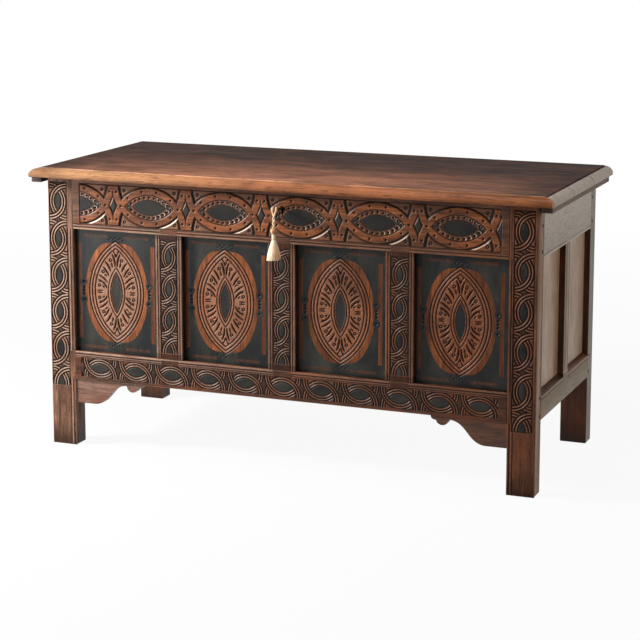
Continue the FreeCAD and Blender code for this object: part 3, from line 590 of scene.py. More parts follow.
def carved(node, material, spacing, carve, joined="", hole=None):
    """The CAD board with a new face: a fine grid cut and stained as carve says for each place, joined to
    the board a few millimetres behind its face. Behind that, its tenons, grooves and holes are as they
    were. joined names the axis along which its shoulders meet other boards, with dirt in the joints. hole
    says how far a place is outside a hole through the face, and the nearest place on its outline."""
    bm = bmesh.new()
    bm.from_mesh(nodes[node].data)
    layer = bm.verts.layers.float_color.new("carving")
    for vertex in bm.verts:
        vertex[layer] = (0, 0, 0, 0)
    bmesh.ops.remove_doubles(bm, verts=bm.verts, dist=0.01 * mm)
    front = min(vertex.co.y for vertex in bm.verts)
    bmesh.ops.bisect_plane(bm, geom=bm.verts[:] + bm.edges[:] + bm.faces[:],
                           plane_co=(0, front + face_depth, 0), plane_no=(0, -1, 0), clear_outer=True)
    bmesh.ops.dissolve_limit(bm, angle_limit=math.radians(0.5), verts=bm.verts, edges=bm.edges)
    back_rim = [edge for edge in bm.edges if edge.is_boundary]
    rim_verts = {vertex for edge in back_rim for vertex in edge.verts}
    low_x, high_x = min(v.co.x for v in rim_verts), max(v.co.x for v in rim_verts)
    low_z, high_z = min(v.co.z for v in rim_verts), max(v.co.z for v in rim_verts)
    width, height = high_x - low_x, high_z - low_z
    place = Matrix.Translation(((low_x + high_x) / 2, front, (low_z + high_z) / 2))
    place = place @ Matrix.Rotation(math.pi / 2, 4, "X") @ Matrix.Diagonal((width / 2, height / 2, 1, 1))
    grid = bmesh.ops.create_grid(bm, x_segments=round(width / spacing), y_segments=round(height / spacing),
                                 size=1.0, matrix=place)["verts"]
    if hole:
        bmesh.ops.delete(bm, geom=pierce(grid, hole, 0.75 * spacing / mm), context="FACES")
        grid = [vertex for vertex in grid if vertex.is_valid]
    x = np.array([vertex.co.x for vertex in grid]) / mm
    z = np.array([vertex.co.z for vertex in grid]) / mm
    work = carve(x, z)
    shoulder = {"x": least(x - low_x / mm, high_x / mm - x), "z": least(z - low_z / mm, high_z / mm - z)}
    arris = least(shoulder["x"], shoulder["z"])
    lay(work, "cut", 0.9 * np.clip(1 - arris / 1.6, 0, 1) ** 2)
    lay(work, "rub_and_highlight", 0.55 * ramp(-arris, -2.6, -0.4))
    for axis in joined:
        lay(work, "dirt_and_shade", 0.9 * ramp(-shoulder[axis], -2.4, -0.8))
    for vertex, depth, *inks in zip(grid, *work.values()):
        vertex.co.y = front + depth * mm
        vertex[layer] = inks

    def nearest(verts, x, z):
        return min(verts, key=lambda v: abs(v.co.x - x) + abs(v.co.z - z))

    corners = ((low_x, low_z), (high_x, low_z), (high_x, high_z), (low_x, high_z))
    links = [bm.edges.new((nearest(grid, *corner), nearest(rim_verts, *corner))) for corner in corners]
    rims = [edge for edge in bm.edges if edge.is_boundary and edge not in back_rim] + back_rim
    used = set()
    for n, (axis, level) in enumerate(((2, low_z), (0, high_x), (2, high_z), (0, low_x))):
        run = [edge for edge in rims if all(abs(v.co[axis] - level) < touch for v in edge.verts)]
        used.update(run)
        bmesh.ops.contextual_create(bm, geom=run + [links[n], links[(n + 1) % 4]])
    left = [edge for edge in rims if edge not in used]
    if left:
        bmesh.ops.bridge_loops(bm, edges=left)
    bmesh.ops.recalc_face_normals(bm, faces=bm.faces)
    bmesh.ops.triangulate(bm, faces=[face for face in bm.faces if len(face.verts) > 4])
    mesh = finished(bm, "carved_" + node)
    mesh.set_sharp_from_angle(angle=math.radians(48))
    fitted("carved_" + node, mesh, material, "carcass", node)


# Front stiles: the two front legs, 75 by 50 mm. A band of upright linked loops runs from the lid to just
# under the sill, and below it the leg is plain but for two scratched lines.

stile_side_colour, stile_side = srgb(111, 78, 50), 0.699
# The left stile's paler tones are a painted light from the lamp on the left, and the right stile's darker
# tones a painted shade.
stile_lit_and_shaded_tones = {"left": (srgb(150, 110, 88), srgb(64, 43, 33)),
               "right": (srgb(126, 80, 58), srgb(50, 29, 20))}
stile_spacing = 1.05 * mm
stile_pitch = 103.7
stile_loops = {"first": 690.0 - 5 * stile_pitch, "pitch": stile_pitch, "count": 6, "inner": 37.4,
               "outer": 53.0, "offset": 27.0, "over": -1}
stile_band_half = 27.0
stile_band_bottom, stile_band_top = 170.0, 744.0
scratched_zones = ((271.0, 616.0), (0.0, 191.0))
scratched_lines, scratched_middle = (632.0, 640.0), 636.0


def stile_carving(band_middle, inner_side):
    """The carving of one front stile. inner_side is the direction of the panels."""
    def carve(x, z):
        work = blank(x)
        t = x - band_middle
        linked_loops(work, z, t, **stile_loops)
        framed(work, z, t, stile_band_half, stile_band_bottom, stile_band_top, 1.4, 1.8, end=1.4)
        for zone in scratched_zones:
            for line in scratched_lines:
                engrave(work, gouge(x * inner_side + line, 1.5) * between(z, *zone), 1.6)
            lay(work, "rub_and_highlight", 0.5 * gouge(x * inner_side + scratched_middle, 3.0) * between(z, *zone))
        return work
    return carve


for name, inner_side, band_middle, seed in (("left", 1, -669.5, 1.3), ("right", -1, 664.0, 2.9)):
    oak = waxed_oak("stile_oak_" + name, "z", *stile_lit_and_shaded_tones[name], seed, polish=0.04,
                    ends=(stile_side_colour, stile_side))
    carved("stile_front_" + name, oak, stile_spacing, stile_carving(band_middle, inner_side))


# Front top rail: an oak board with a row of pointed ovals with black middles, between wide punched bands.
# It has the keyhole, and a scratched moulding along each panel's opening.

rail_light, rail_dark = srgb(119, 79, 57), srgb(44, 26, 18)
rail_spacing = 1.37 * mm
rail_bottom = 616.0
oval_first, oval_pitch, oval_count = -608.0, 219.7, 6
top_band_middle, top_band_half = 688.0, 55.5
top_band_ends = (-601.0, 603.0)
oval_offset, oval_inner, oval_outer = 59.2, 93.2, 113.4
eye_offset, eye_radius = 45.1, 66.6
bead_spacing, bead_radius = 14.6, 4.7
panel_lefts = (-625.0, -293.0, 39.0, 371.0)
panel_width = 254.0
moulding_reach = 13.0
keyhole_x, keyhole_z = 3.0, 711.0
keyhole_radius = 5.5
keyhole_neck, keyhole_half, keyhole_drop = 4.6, 3.0, 17.5


def opening_moulding(work, x, away):
    """Two scratched lines and the bead between them along each panel opening; away is the distance from
    the edge of the rail. The edge itself carries a painted highlight towards the left."""
    for left in panel_lefts:
        zone = between(x, left - moulding_reach, left + panel_width + moulding_reach)
        for line in (7.4, 13.6):
            engrave(work, gouge(away - line, 1.4) * zone, 1.6)
        lay(work, "rub_and_highlight", 0.5 * gouge(away - 10.4, 2.6) * zone)
        lay(work, "rub_and_highlight", 0.8 * gouge(away - 2.6, 3.0) * zone)
    # A painted highlight along the rail's edge, fading out towards the right.
    bright = gouge(away - 1.8, 1.9) * ramp(-x, 180, 400) * (0.9 + 0.1 * np.sin(x / 7.0) * np.sin(x / 31.0))
    lay(work, "rub_and_highlight", bright)


def both_ways(*places):
    """Each place of a pattern, and its mirror images to the sides and up and down."""
    return [(x * side, z * lift) for x, z in places for side in (-1, 1) for lift in (-1, 1)]


def top_rail_carving(x, z):
    work = blank(x)
    t = z - top_band_middle
    nearest = np.clip(np.round((x - oval_first) / oval_pitch), 0, oval_count - 1)
    u = x - oval_first - nearest * oval_pitch
    au, at = np.abs(u), np.abs(t)
    a = np.hypot(u, t + oval_offset)
    b = np.hypot(u, t - oval_offset)
    inner = least(oval_inner - a, oval_inner - b)
    gap = least(a - oval_outer, b - oval_outer)
    spandrel = most(least(oval_inner - a, b - oval_outer), least(oval_inner - b, a - oval_outer))
    eye = eye_radius - np.hypot(u, at + eye_offset)

    # The outlines of the bands, on wood scraped bare, and the black eye sunk in each oval.
    work["bare"][:] = 0.8
    engrave(work, gouge(inner, 2.2), 1.8)
    engrave(work, np.where(spandrel > -4, gouge(spandrel, 2.0), 0), 1.6)
    ground(work, inner - 1.0, 0.5)
    engrave(work, gouge(eye, 1.6), 1.7, 0.8)
    ground(work, most(eye, least(inner - 2.0, au - 54.0)), 0.9, slate=1.0, dirt_and_shade=0.45)
    work["bare"] *= 1 - ramp(most(eye, inner - 2.0), -0.5, 0.8) * 0.45

    # The ring of beads round the eye: round hollows, with a painted highlight on one side of each.
    arc = np.arctan2(u, at + oval_offset) * (oval_inner - 6.0)
    step = (arc / bead_spacing + 0.5) % 1 - 0.5
    bead = np.hypot(step * bead_spacing, oval_inner - 6.2 - np.hypot(u, at + oval_offset))
    ring = ramp(inner, 1.0, 2.0) * ramp(-eye, -0.5, 0.5)
    lay(work, "slate", 0.55 * ring * ramp(u, -30, 40))
    lay(work, "dirt_and_shade", 0.35 * ring)
    engrave(work, np.where((inner > 1.0) & (eye < 1.5), gouge(bead, bead_radius), 0), 3.6)
    lay(work, "rub_and_highlight", 0.2 * gouge(eye + 2.4, 1.6))
    highlit_side = step * (t > 0) - step * (t < 0) < 0
    worn = least(1.5 * gouge(bead - 4.6, 2.2), 1) * highlit_side * ring * ramp(u, -10, 20)
    lay(work, "rub_and_highlight", worn)
    work["slate"] *= 1 - worn

    # The black diamonds between the ovals, with a scratched line above and below, and a painted highlight
    # on their slopes.
    engrave(work, gouge(gap - 1.2, 2.6), 2.8)
    engrave(work, np.where(at > 26, gouge(au - oval_pitch / 2, 1.3), 0) * ramp(-at, -43, -40), 1.8)
    ground(work, gap - 2.2, 0.8, slate=1.0)
    slope_highlight = least(1.4 * gouge(gap - 2.2, 2.1), 1) * (u > 0) * ramp(t, -8, 4)
    slope_highlight += 0.85 * gouge(gap - 0.6, 1.4) * (u < 0) * (t < 0)
    lay(work, "rub_and_highlight", slope_highlight)
    work["dirt_and_shade"] *= 1 - 0.8 * slope_highlight
    work["slate"] *= 1 - slope_highlight

    # The spandrels: sunk fields with a gouged chip along each arc, and a painted highlight in a thin curve
    # at the lower right.
    outer_arc = np.where(t > 0, a, b) - oval_outer
    arm = oval_inner - np.where(t > 0, b, a)
    field = ramp(spandrel, 0.2, 1.6)
    lower_right = (u > 0) & (t < 0)
    chip = most(gouge(np.clip(outer_arc - 1.0, 0, None) - 1.2, np.where(lower_right, 5.4, 3.2)),
                1.3 * gouge(arm - 2.6, 5.0))
    lay(work, "cut", field * (1.2 + 2.7 * np.clip(chip, 0, 1)))
    lay(work, "dirt_and_shade", field * ramp(chip, 0.7, 1.1) * 0.95)
    work["bare"] *= 1 - 0.85 * field
    lay(work, "rub_and_highlight", field * 0.2 * (1 - ramp(chip, 0.5, 1.0)))
    crescent_highlight = field * lower_right * least(1.5 * gouge(outer_arc - 5.0, 2.8), 1) * ramp(u, 8, 30)
    lay(work, "rub_and_highlight", crescent_highlight)
    work["dirt_and_shade"] *= 1 - crescent_highlight

    # Punch marks along the bands, and ring marks in the spandrels.
    marks = both_ways((22.3, 43.0), (64.6, 23.3), (oval_pitch / 2 - 10.6, 38.5))
    punch(work, u, t, marks + [(-86.0, 0.0), (86.0, 0.0)], 4.4, 3.0)
    punch(work, u, t, both_ways((76.0, 43.5)), 5.4, 3.6, ring=True)
    framed(work, x, t, top_band_half, *top_band_ends, 2.0, 2.2, end=1.4)
    opening_moulding(work, x, z - rail_bottom)
    return work


def keyhole(x, z):
    """How far a place is outside the keyhole, and the nearest place on its outline."""
    away = math.hypot(x - keyhole_x, z - keyhole_z)
    below = keyhole_z - z
    if below > keyhole_neck:
        aside, beyond = abs(x - keyhole_x) - keyhole_half, below - keyhole_drop
        if aside > beyond:
            return aside, keyhole_x + math.copysign(keyhole_half, x - keyhole_x), z
        return beyond, x, keyhole_z - keyhole_drop
    scale = keyhole_radius / max(away, 1e-6)
    return away - keyhole_radius, keyhole_x + (x - keyhole_x) * scale, keyhole_z + (z - keyhole_z) * scale


rail_oak = waxed_oak("top_rail_oak", "x", rail_light, rail_dark, 4.1, polish=0.15)
carved("rail_front_top", rail_oak, rail_spacing, top_rail_carving, joined="x", hole=keyhole)


# Front lower rail, or sill: an oak board over the legs' brackets, with linked loops lying down and the same
# scratched moulding along its upper edge.

sill_light, sill_dark = srgb(104, 67, 49), srgb(44, 25, 18)
sill_spacing = 1.15 * mm
sill_top = 271.0
sill_pitch = 110.0
sill_loops = {"first": 3.0 - 6 * sill_pitch, "pitch": sill_pitch, "count": 13, "inner": 38.8, "outer": 52.6,
              "offset": 25.1, "over": 1, "gaps": (-593.0, 587.0)}
sill_band_middle, sill_band_half = 226.5, 27.0
sill_band_ends = (-606.0, 600.0)


def sill_carving(x, z):
    work = blank(x)
    t = z - sill_band_middle
    linked_loops(work, x, t, **sill_loops)
    framed(work, x, t, sill_band_half, *sill_band_ends, 1.2, 0.9, dirt_and_shade=0.5)
    opening_moulding(work, x, sill_top - z)
    return work


sill_oak = waxed_oak("front_sill_oak", "x", sill_light, sill_dark, 5.7, polish=0.12)
carved("rail_front_bottom", sill_oak, sill_spacing, sill_carving, joined="x")


# Front muntins: 78 mm uprights of oak, tenoned between the rails. Each has a beaded edge beside its panels
# and a narrow band of linked loops.

muntin_light, muntin_dark = srgb(92, 55, 37), srgb(35, 20, 12)
muntin_middles = {"left": -332.0, "middle": 0.0, "right": 332.0}
muntin_spacing = 1.0 * mm
muntin_half = 39.0
muntin_loops = {"first": 291.0, "pitch": 88.5, "count": 4, "inner": 31.2, "outer": 45.2, "offset": 22.5,
                "over": -1, "gap_edge": 0.8}
muntin_band_half = 23.5
muntin_band_bottom, muntin_band_top = 289.0, 603.0


def muntin_carving(middle):
    def carve(x, z):
        work = blank(x)
        t = x - middle
        linked_loops(work, z, t, **muntin_loops)
        framed(work, z, t, muntin_band_half, muntin_band_bottom, muntin_band_top, 1.3, 1.8, end=1.3)
        for line in (7.0, 13.2):
            engrave(work, gouge(np.abs(t) - (muntin_half - line), 1.35), 1.6)
        lay(work, "rub_and_highlight", 0.5 * gouge(np.abs(t) - 29.0, 2.4))
        lay(work, "rub_and_highlight", 0.6 * gouge(np.abs(t) - 35.6, 3.0))
        band_middle = (muntin_band_bottom + muntin_band_top) / 2
        lay(work, "dirt_and_shade", 0.45 * ramp(np.abs(z - band_middle), 157.0, 160.0))
        return work
    return carve


for seed, (name, middle) in enumerate(muntin_middles.items()):
    oak = waxed_oak("muntin_oak_" + name, "z", muntin_light, muntin_dark, 6.3 + seed, polish=0.12)
    carved("muntin_front_" + name, oak, muntin_spacing, muntin_carving(middle), joined="z")


# Front panels: thin boards set back in their grooves. The ground is stained slate-black round an oval of
# bare wood, in which a pointed oval holds rows of gouged barbs round a smaller pointed oval.

panel_light, panel_dark = srgb(124, 70, 42), srgb(74, 38, 21)
panel_spacing = 1.15 * mm
# From left to right the panels have less bare wood and more painted shade on their ovals' sides: a painted
# falloff of the light from the left.
panel_facts = {"outer_left": (-500.5, 1.0, 0.0, 0.06), "inner_left": (-171.0, 0.85, 0.06, 0.27),
               "inner_right": (161.5, 0.8, 0.27, 0.37), "outer_right": (492.0, 0.7, 0.06, 0.48)}
panel_middle_z = 442.0
halo_half_width, halo_half_height, halo_top, halo_round = 96.0, 152.0, 142.0, 6.0
outer_oval_offset, outer_oval_edge = 83.0, 166.2
outer_oval_grooves, outer_oval_ridges = (166.2, 158.0, 148.8), ((162.1, 2.2), (153.4, 2.6))
inner_oval_offset, inner_oval_grooves = 83.3, ((108.8, 2.0), (100.8, 1.9))
ring_marks = ((52.5, 17.5), (40.5, 56.5), (17.0, 90.0))
side_marks = ((101.0, -9.0), (101.5, 0.0), (101.0, 9.0), (100.5, 25.0), (100.5, -25.0))
tip_marks = ((7.0, 149.0), (14.5, 152.5), (22.0, 147.0), (0.0, 154.0))
barbs = (((29.5, 11.0), (36.0, 26.0), (54.0, 33.0)), ((28.0, 27.0), (38.0, 40.0), (53.5, 46.4)),
         ((23.5, 46.5), (30.0, 60.5), (40.5, 70.0)), ((17.0, 59.0), (23.0, 75.0), (33.5, 85.0)),
         ((3.4, 73.0), (3.2, 92.0), (11.5, 106.0)))
teardrops = (((11.4, 70.5), (14.0, 83.5)), ((28.5, 43.5), (36.5, 50.0)), ((37.5, 12.0), (42.5, 17.0)),
             ((42.0, 3.0), (58.5, 2.6)), ((48.0, 27.0), (53.0, 28.6)), ((3.6, 109.5), (0.6, 99.0)),
             ((9.0, 116.5), (5.0, 110.5)))


def cut_stroke(work, x, z, points, half, depth):
    """One cut of a gouge along a bent line, thin at both ends."""
    line = np.array(points, float)
    if len(line) == 3:
        share = np.linspace(0, 1, 9)[:, None]
        line = (1 - share) ** 2 * line[0] + 2 * share * (1 - share) * line[1] + share ** 2 * line[2]
    shape = np.zeros_like(x)
    count = len(line) - 1
    for n in range(count):
        run = line[n + 1] - line[n]
        along = ((x - line[n][0]) * run[0] + (z - line[n][1]) * run[1]) / run.dot(run)
        along = np.clip(along, 0, 1)
        away = np.hypot(x - line[n][0] - along * run[0], z - line[n][1] - along * run[1])
        width = half * (0.35 + 0.65 * np.sin(math.pi * np.clip((n + along) / count, 0.02, 0.98)) ** 0.7)
        shape = most(shape, gouge(away, width))
    engrave(work, shape, depth, 0.95)


def panel_carving(middle, lit_bare_share, shade_left, shade_right):
    """The carving of one panel: where its middle is, how much of its oval is scraped bare, made less on the
    panels further right as a painted shade, and how much painted shade darkens the oval's left and right
    sides."""
    def carve(x, z):
        work = blank(x)
        u, v = x - middle, z - panel_middle_z
        au, av = np.abs(u), np.abs(v)
        r = np.hypot(au + outer_oval_offset, v)
        q = np.hypot(au + inner_oval_offset, v)

        # Where the slate stain is left off: the oval, a strip down each side and a faint one at each end.
        oval = 1 - np.hypot(u / halo_half_width, v / halo_half_height)
        halo = -halo_round * np.log(np.exp(-oval * halo_half_width / halo_round)
                                    + np.exp((av - halo_top) / halo_round))
        side_dots = np.hypot(au - 100.5, av - 25.0) - 10.5
        tip_dots = np.hypot(au - 22.0, av - 147.0) - 9.0
        strips = least(au - 105.5, 118.0 - au, 136.0 - av)
        faint = least(av - 150.0, 165.0 - av, 104.0 - au, au - 24.0)
        shown = least(most(halo, strips), side_dots, tip_dots)
        bare = ramp(shown, -1.8, 1.8)
        work["bare"] = bare * np.where(halo > 0, lit_bare_share, 0.3)
        cleaned = bare * np.where(halo > 0, 1.0, np.where(u > 0, 0.72, 0.62))
        work["slate"] = 1 - most(cleaned, 0.42 * ramp(faint, -5, 7))

        # The outer pointed oval of three grooves, and the inner one with its black middle.
        engrave(work, most(*[gouge(r - place, 2.2) for place in outer_oval_grooves]), 2.2)
        for place, half in outer_oval_ridges:
            lay(work, "rub_and_highlight", gouge(r - place, half) * 0.7)
        engrave(work, most(*[gouge(q - place, half) for place, half in inner_oval_grooves]), 2.0)
        lay(work, "rub_and_highlight", gouge(q - 104.8, 2.2) * 0.7)
        ground(work, 98.0 - q, 0.9, slate=1.0)

        # Barbs, teardrops and ring marks on the field between the two ovals.
        barbed = (r < 147.0) & (q > 110.4)
        inner = blank(x)
        for points in barbs:
            cut_stroke(inner, au, av, points, 3.4, 3.6)
        for points in teardrops:
            cut_stroke(inner, au, av, points, 2.8, 2.8)
        punch(inner, au, av, ring_marks, 5.6, 1.9, ring=True)
        inner["cut"] += 0.5
        for name in ("cut", "dirt_and_shade"):
            lay(work, name, np.where(barbed, inner[name], 0))
        lay(work, "rub_and_highlight", np.where(barbed, 0.55 * (1 - inner["dirt_and_shade"]), 0))

        # The oval gone dark, a painted shade beside it that grows to the right, and the punch marks at its
        # sides and tips.
        work["bare"] = np.where(r < outer_oval_edge, 0.4 * lit_bare_share, work["bare"])
        side_shade = shade_left + (shade_right - shade_left) * ramp(u, -80, 80)
        lay(work, "dirt_and_shade", np.where(r > outer_oval_edge, side_shade * bare, 0))
        work["slate"] = np.where(r < 165.6, np.where(q < 99.0, work["slate"], 0), work["slate"])
        punch(work, au, v, side_marks, 3.9, 2.8)
        punch(work, au, av, tip_marks, 2.6, 1.4)
        return work
    return carve


for seed, (name, facts) in enumerate(panel_facts.items()):
    oak = waxed_oak("panel_oak_" + name, "z", panel_light, panel_dark, 11.2 + 1.7 * seed, polish=0.15)
    carved("panel_front_" + name, oak, panel_spacing, panel_carving(*facts))


# Plain boards of the carcass: rails, stiles, muntins and panels of the sides and the rear. Each keeps its
# CAD shape, with its sawn arrises rubbed round, and lines are scratched beside the side panels.

frame_light, frame_dark = srgb(106, 70, 50), srgb(48, 29, 20)
panel_pale, panel_deep = srgb(168, 138, 108), srgb(126, 101, 78)
side_polish, rear_polish = 0.35, 0.08
arris_width = 1.3 * mm
long_edge = 40 * mm
scratch_half, scratch_depth, scratch_run = 1.0 * mm, 1.4 * mm, 2 * mm
side_face = 700 * mm
side_openings = ((-0.228, -0.006), (0.04, 0.262))
side_joints = (-0.228, 0.262)
side_line_heights = {"top": 624 * mm, "bottom": 247 * mm}
muntin_line_ends = (272 * mm, 615 * mm)
muntin_line_inset = 8 * mm
top_rail_colour, bottom_rail_colour = srgb(150, 136, 118), srgb(113, 95, 70)
faded = {"stile_rear": (srgb(90, 77, 62), 0.2), "muntin_side": (srgb(124, 98, 72), side_polish),
         "rail_left_top": (top_rail_colour, side_polish), "rail_left_bottom": (bottom_rail_colour, 0.12),
         "rail_right_top": (top_rail_colour, side_polish), "rail_right_bottom": (bottom_rail_colour, 0.12)}
plain_boards = {"z": ["stile_rear_left", "stile_rear_right", "muntin_side_left", "muntin_side_right",
                      "muntin_rear_left", "muntin_rear_middle", "muntin_rear_right", "panel_left_front",
                      "panel_left_rear", "panel_right_front", "panel_right_rear", "panel_rear_outer_left",
                      "panel_rear_inner_left", "panel_rear_inner_right", "panel_rear_outer_right"],
                "x": ["rail_rear_top", "rail_rear_bottom"],
                "y": ["rail_left_top", "rail_left_bottom", "rail_right_top", "rail_right_bottom"]}


def scratch(bm, axis, place, run_axis, stops, face):
    """A line scratched into the outer face of a board, across the given axis, between two stops."""
    start, end = stops
    planes = [(axis, place + step * scratch_half) for step in (-1, 0, 1)]
    planes += [(run_axis, level) for level in (start, start + scratch_run, end - scratch_run, end)]
    for way, level in planes:
        normal = Vector((0, 0, 0))
        normal[way] = 1
        bmesh.ops.bisect_plane(bm, geom=bm.verts[:] + bm.edges[:] + bm.faces[:], plane_co=normal * level,
                               plane_no=normal)
    for vertex in bm.verts:
        at = vertex.co
        if (abs(at[axis] - place) < touch and abs(at.x - face) < touch
                and start + touch < at[run_axis] < end - touch):
            vertex.co.x -= math.copysign(scratch_depth, face)


def eased_board(node, material, body, width=arris_width, rubbed=0.45, along=None, scratches=()):
    """The CAD board with its long arrises eased round, and a trace of lighter wood on them. Its flat faces
    keep a flat shading. Where along gives the direction of its grain, the edges across it are joints, with
    dirt in them."""
    bm = bmesh.new()
    bm.from_mesh(nodes[node].data)
    layer = bm.loops.layers.float_color.new("carving")
    for face in bm.faces:
        for loop in face.loops:
            loop[layer] = (0, 0, 0, 0)
    bmesh.ops.remove_doubles(bm, verts=bm.verts, dist=0.01 * mm)
    bmesh.ops.dissolve_limit(bm, angle_limit=math.radians(0.5), verts=bm.verts, edges=bm.edges)
    edges = [edge for edge in bm.edges if edge.is_manifold and edge.is_convex
             and edge.calc_length() > long_edge and edge.calc_face_angle(0) > math.radians(60)]
    rounds = set(bmesh.ops.bevel(bm, geom=edges, offset=width, offset_type="OFFSET", segments=3,
                                 profile=0.5, affect="EDGES", material=-1, clamp_overlap=True)["faces"])
    for edge in bm.edges:
        flats = sum(face not in rounds for face in edge.link_faces)
        edge.smooth = flats == 0 or (flats == 2 and edge.calc_face_angle(0) < math.radians(35))
    for face in rounds:
        longest = max(face.edges, key=lambda edge: edge.calc_length())
        run = longest.verts[0].co - longest.verts[1].co
        joint = along and abs(run["xyz".index(along)]) < 0.5 * run.length
        for loop in face.loops:
            loop[layer] = (0, 0.9, 0, 0) if joint else (0, 0, rubbed, 0)
    for line in scratches:
        scratch(bm, *line)
    bmesh.ops.triangulate(bm, faces=[face for face in bm.faces if len(face.verts) > 4])
    fitted("eased_" + node, finished(bm, "eased_" + node), material, body, node)


def side_scratches(name, along):
    """The lines on a board of a side frame: over or under each opening, or beside it."""
    face = side_face if "right" in name else -side_face
    if along == "y":
        height = side_line_heights[name.split("_")[-1]]
        return [(2, height, 1, opening, face) for opening in side_openings]
    if name.startswith("muntin_side"):
        places = (side_openings[0][1] + muntin_line_inset, side_openings[1][0] - muntin_line_inset)
        return [(1, place, 2, muntin_line_ends, face) for place in places]
    return []


seed = 20.0
for along, names in plain_boards.items():
    for name in names:
        seed += 1.37
        is_panel = name.startswith("panel")
        polish = side_polish if is_panel and "_rear_" not in name else rear_polish
        outside = None
        for start, (colour, wax) in faded.items():
            if name.startswith(start):
                outside, polish = (colour, side_face - 1 * mm), wax
        tones = (panel_pale, panel_deep) if is_panel else (frame_light, frame_dark)
        oak = waxed_oak("oak_of_" + name, along, *tones, seed, polish=polish, ends=outside,
                        seams=side_joints if along == "y" else ())
        eased_board(name, oak, "carcass", along=along, scratches=side_scratches(name, along))


# Floor boards, brackets and pegs: four pale dry boards in the grooves of the lower rails, a shaped bracket
# in each front corner under the sill, and dark draw pegs driven through the tenons of the rails.

floor_light, floor_dark = srgb(150, 118, 82), srgb(104, 76, 50)
# The left bracket's paler tones are a painted light from the lamp on the left, and the right one's darker
# tones a painted shade.
bracket_lit_and_shaded_tones = {"left": (srgb(130, 97, 82), srgb(64, 44, 35)),
                 "right": (srgb(104, 70, 52), srgb(44, 27, 20))}


def dressed(material, *names):
    """Gives a material to the CAD nodes whose own shape is right."""
    for name in names:
        nodes[name].data.materials.clear()
        nodes[name].data.materials.append(material)


for n in range(1, 5):
    oak = waxed_oak("floor_oak_" + str(n), "y", floor_light, floor_dark, 60 + 2.3 * n, gloss=0.62)
    eased_board("floor_board_" + str(n), oak, "carcass", 0.8 * mm)
for name, tones in bracket_lit_and_shaded_tones.items():
    bracket_oak = waxed_oak("bracket_oak_" + name, "x", *tones, 70.5)
    eased_board("bracket_" + name, bracket_oak, "carcass", 0.9 * mm)
dressed(waxed_oak("peg_oak", "x", srgb(34, 22, 16), srgb(16, 10, 7), 75.0, gloss=0.5, shine=0.0, polish=0.1,
                  russet=0.0, inked=False), "draw_pegs")


# Lid: three wide planks on two cleats, with a thumb moulding worked on the front and both ends. The top is
# dark with old polish, and hands have rubbed the nosing. The nosing is painted paler towards the left, a
# painted highlight, with a painted highlight line along its arris.

lid_light, lid_dark = srgb(78, 56, 48), srgb(29, 20, 17)
handled_band = (srgb(170, 112, 84), srgb(174, 115, 87), -0.30, 0.09, 0.15)
# The nosing band's paler colour at the left is a painted highlight, and the line along the nosing's arris
# is a painted highlight.
nosing_wear_and_highlight = (srgb(174, 131, 92), srgb(148, 88, 50), -0.292, -0.286, 1.0)
nosing_highlight_line = (srgb(222, 176, 142), -0.2875)
lid_end, lid_mitre = 0.724, 0.742 - 0.311
lid_seams = (-0.097, 0.117)
for n, name in enumerate(("front", "middle", "rear")):
    oak = waxed_oak("lid_oak_" + name, "x", lid_light, lid_dark, 80.3 + 3.1 * n, gloss=0.5, shine=0.0,
                    polish=0.1, russet=0.2, wear_and_highlight_bands=(handled_band, nosing_wear_and_highlight), arris=nosing_highlight_line,
                    ends=(srgb(174, 162, 150), lid_end, lid_mitre), seams=lid_seams, wander=9 * mm)
    eased_board("lid_plank_" + name, oak, "lid", 1.4 * mm, rubbed=0.9)
# The cleats' outer faces are darkened, a painted shade under the lid's nosing.
cleat_oak = waxed_oak("cleat_oak", "y", lid_light, lid_dark, 91.4, shine=0.0, polish=0.2,
                      ends=(srgb(98, 86, 74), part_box("lid_cleat_right")[1][0] - 1 * mm))
for name in ("left", "right"):
    eased_board("lid_cleat_" + name, cleat_oak, "lid")


# Ironwork: hinges, lock and nails, hammered from wrought iron and gone dark and dry. The key is old brass
# of a bronze colour, mottled with lighter worn patches.

def metal(name, colour, worn_colour, metallic, roughness):
    """Hammered metal with a mottled old surface."""
    plate = Finish(name)
    place = plate.place()
    mottle = plate.add("TexNoise", {"Vector": place, "Scale": 260.0, "Detail": 5.0}).outputs["Fac"]
    dents = plate.add("TexVoronoi", {"Vector": place, "Scale": 120.0}, feature="SMOOTH_F1")
    return plate.surface({"Base Color": plate.tones(mottle, (0.38, colour), (0.66, worn_colour)),
                          "Roughness": plate.stretch(mottle, 0.3, 0.7, roughness - 0.1, roughness + 0.14),
                          "Normal": plate.bump(dents.outputs["Distance"], 0.35, 0.4 * mm),
                          "Metallic": metallic})


dressed(metal("wrought_iron", srgb(38, 35, 33), srgb(78, 66, 56), 0.75, 0.55), "hinge_plate_left",
        "hinge_plate_right", "hinge_strap_left", "hinge_strap_right", "hinge_pins", "carcass_iron_nails",
        "lid_iron_nails", "cleat_nails", "lock_case", "lock_cover", "lock_bolt", "lid_staple")
dressed(metal("key_brass", srgb(50, 33, 20), srgb(122, 88, 54), 0.9, 0.4), "key")


# Studio: a pale floor and sky that look white when seen, and four soft lamps. The main one is high on the
# left, with a wide one low on the left, a weak one over the lid and a large one beyond the right end.

white = (1, 1, 1, 1)


def seen(finish):
    """1 where the camera, a gloss or a clear surface looks, and 0 for the light on other things."""
    ray = finish.add("LightPath").outputs
    return finish.plus(finish.plus(ray["Is Camera Ray"], ray["Is Glossy Ray"]), ray["Is Transmission Ray"])


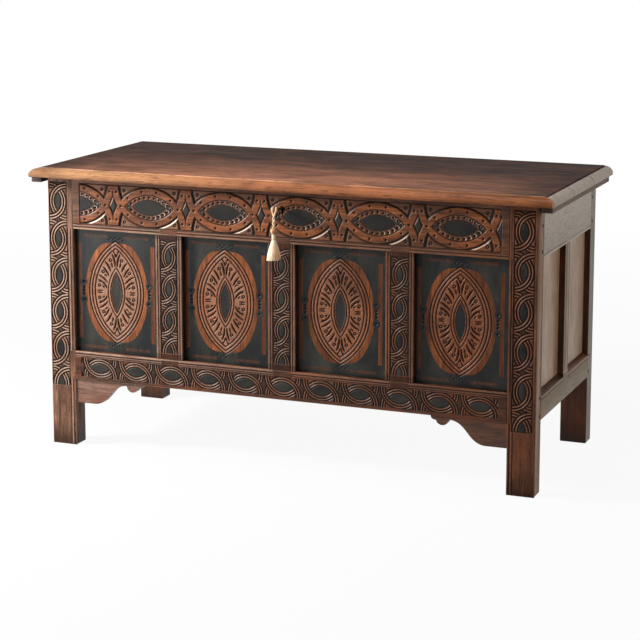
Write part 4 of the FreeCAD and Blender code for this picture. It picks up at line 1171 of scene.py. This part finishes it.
bm = bmesh.new()
bmesh.ops.create_grid(bm, x_segments=1, y_segments=1, size=30)
studio_floor = bpy.data.objects.new("studio_floor", finished(bm, "studio_floor", smooth=False))
bpy.context.scene.collection.objects.link(studio_floor)
floor = Finish("studio_floor")
matt = floor.add("BsdfPrincipled", {"Base Color": (0.55, 0.55, 0.55, 1), "Roughness": 0.95,
                                    "Specular IOR Level": 0.0})
paper = floor.add("Emission", {"Color": white, "Strength": 1.0})
far = floor.add("VectorMath", {0: floor.place()}, operation="LENGTH").outputs["Value"]
paper_share = floor.times(seen(floor), floor.stretch(far, 1.0, 4.0, 0.93, 1.0))
both = floor.add("MixShader", {0: paper_share, 1: matt.outputs[0], 2: paper.outputs[0]})
floor.feed(floor.output, {0: both.outputs[0]})
studio_floor.data.materials.append(floor.owner)

sky = Finish("studio", world=True)
bpy.context.scene.world = sky.owner
dim = sky.add("Background", {"Color": white, "Strength": 0.07})
bright = sky.add("Background", {"Color": white, "Strength": 1.0})
both = sky.add("MixShader", {0: seen(sky), 1: dim.outputs[0], 2: bright.outputs[0]})
sky.feed(sky.output, {0: both.outputs[0]})


def lamp(name, place, target, width, height, power):
    light = bpy.data.lights.new(name, "AREA")
    light.shape = "RECTANGLE"
    light.size, light.size_y = width, height
    light.energy = power
    piece = bpy.data.objects.new(name, light)
    piece.location = place
    piece.visible_camera = False
    piece.rotation_euler = (Vector(target) - Vector(place)).to_track_quat("-Z", "Y").to_euler()
    bpy.context.scene.collection.objects.link(piece)


lamp("key_lamp", (-2.5, -1.3, 1.75), (-0.2, -0.2, 0.4), 0.5, 0.5, 185)
lamp("low_lamp", (-2.2, -2.3, 0.36), (-0.6, -0.2, 0.3), 1.1, 0.6, 34)
lamp("top_lamp", (0.2, -0.45, 1.9), (0.15, -0.05, 0.7), 0.9, 0.5, 13)
lamp("end_lamp", (3.2, 0.4, 1.2), (0.7, 0.0, 0.4), 1.6, 1.2, 38)

bpy.context.scene.view_settings.view_transform = "Standard"
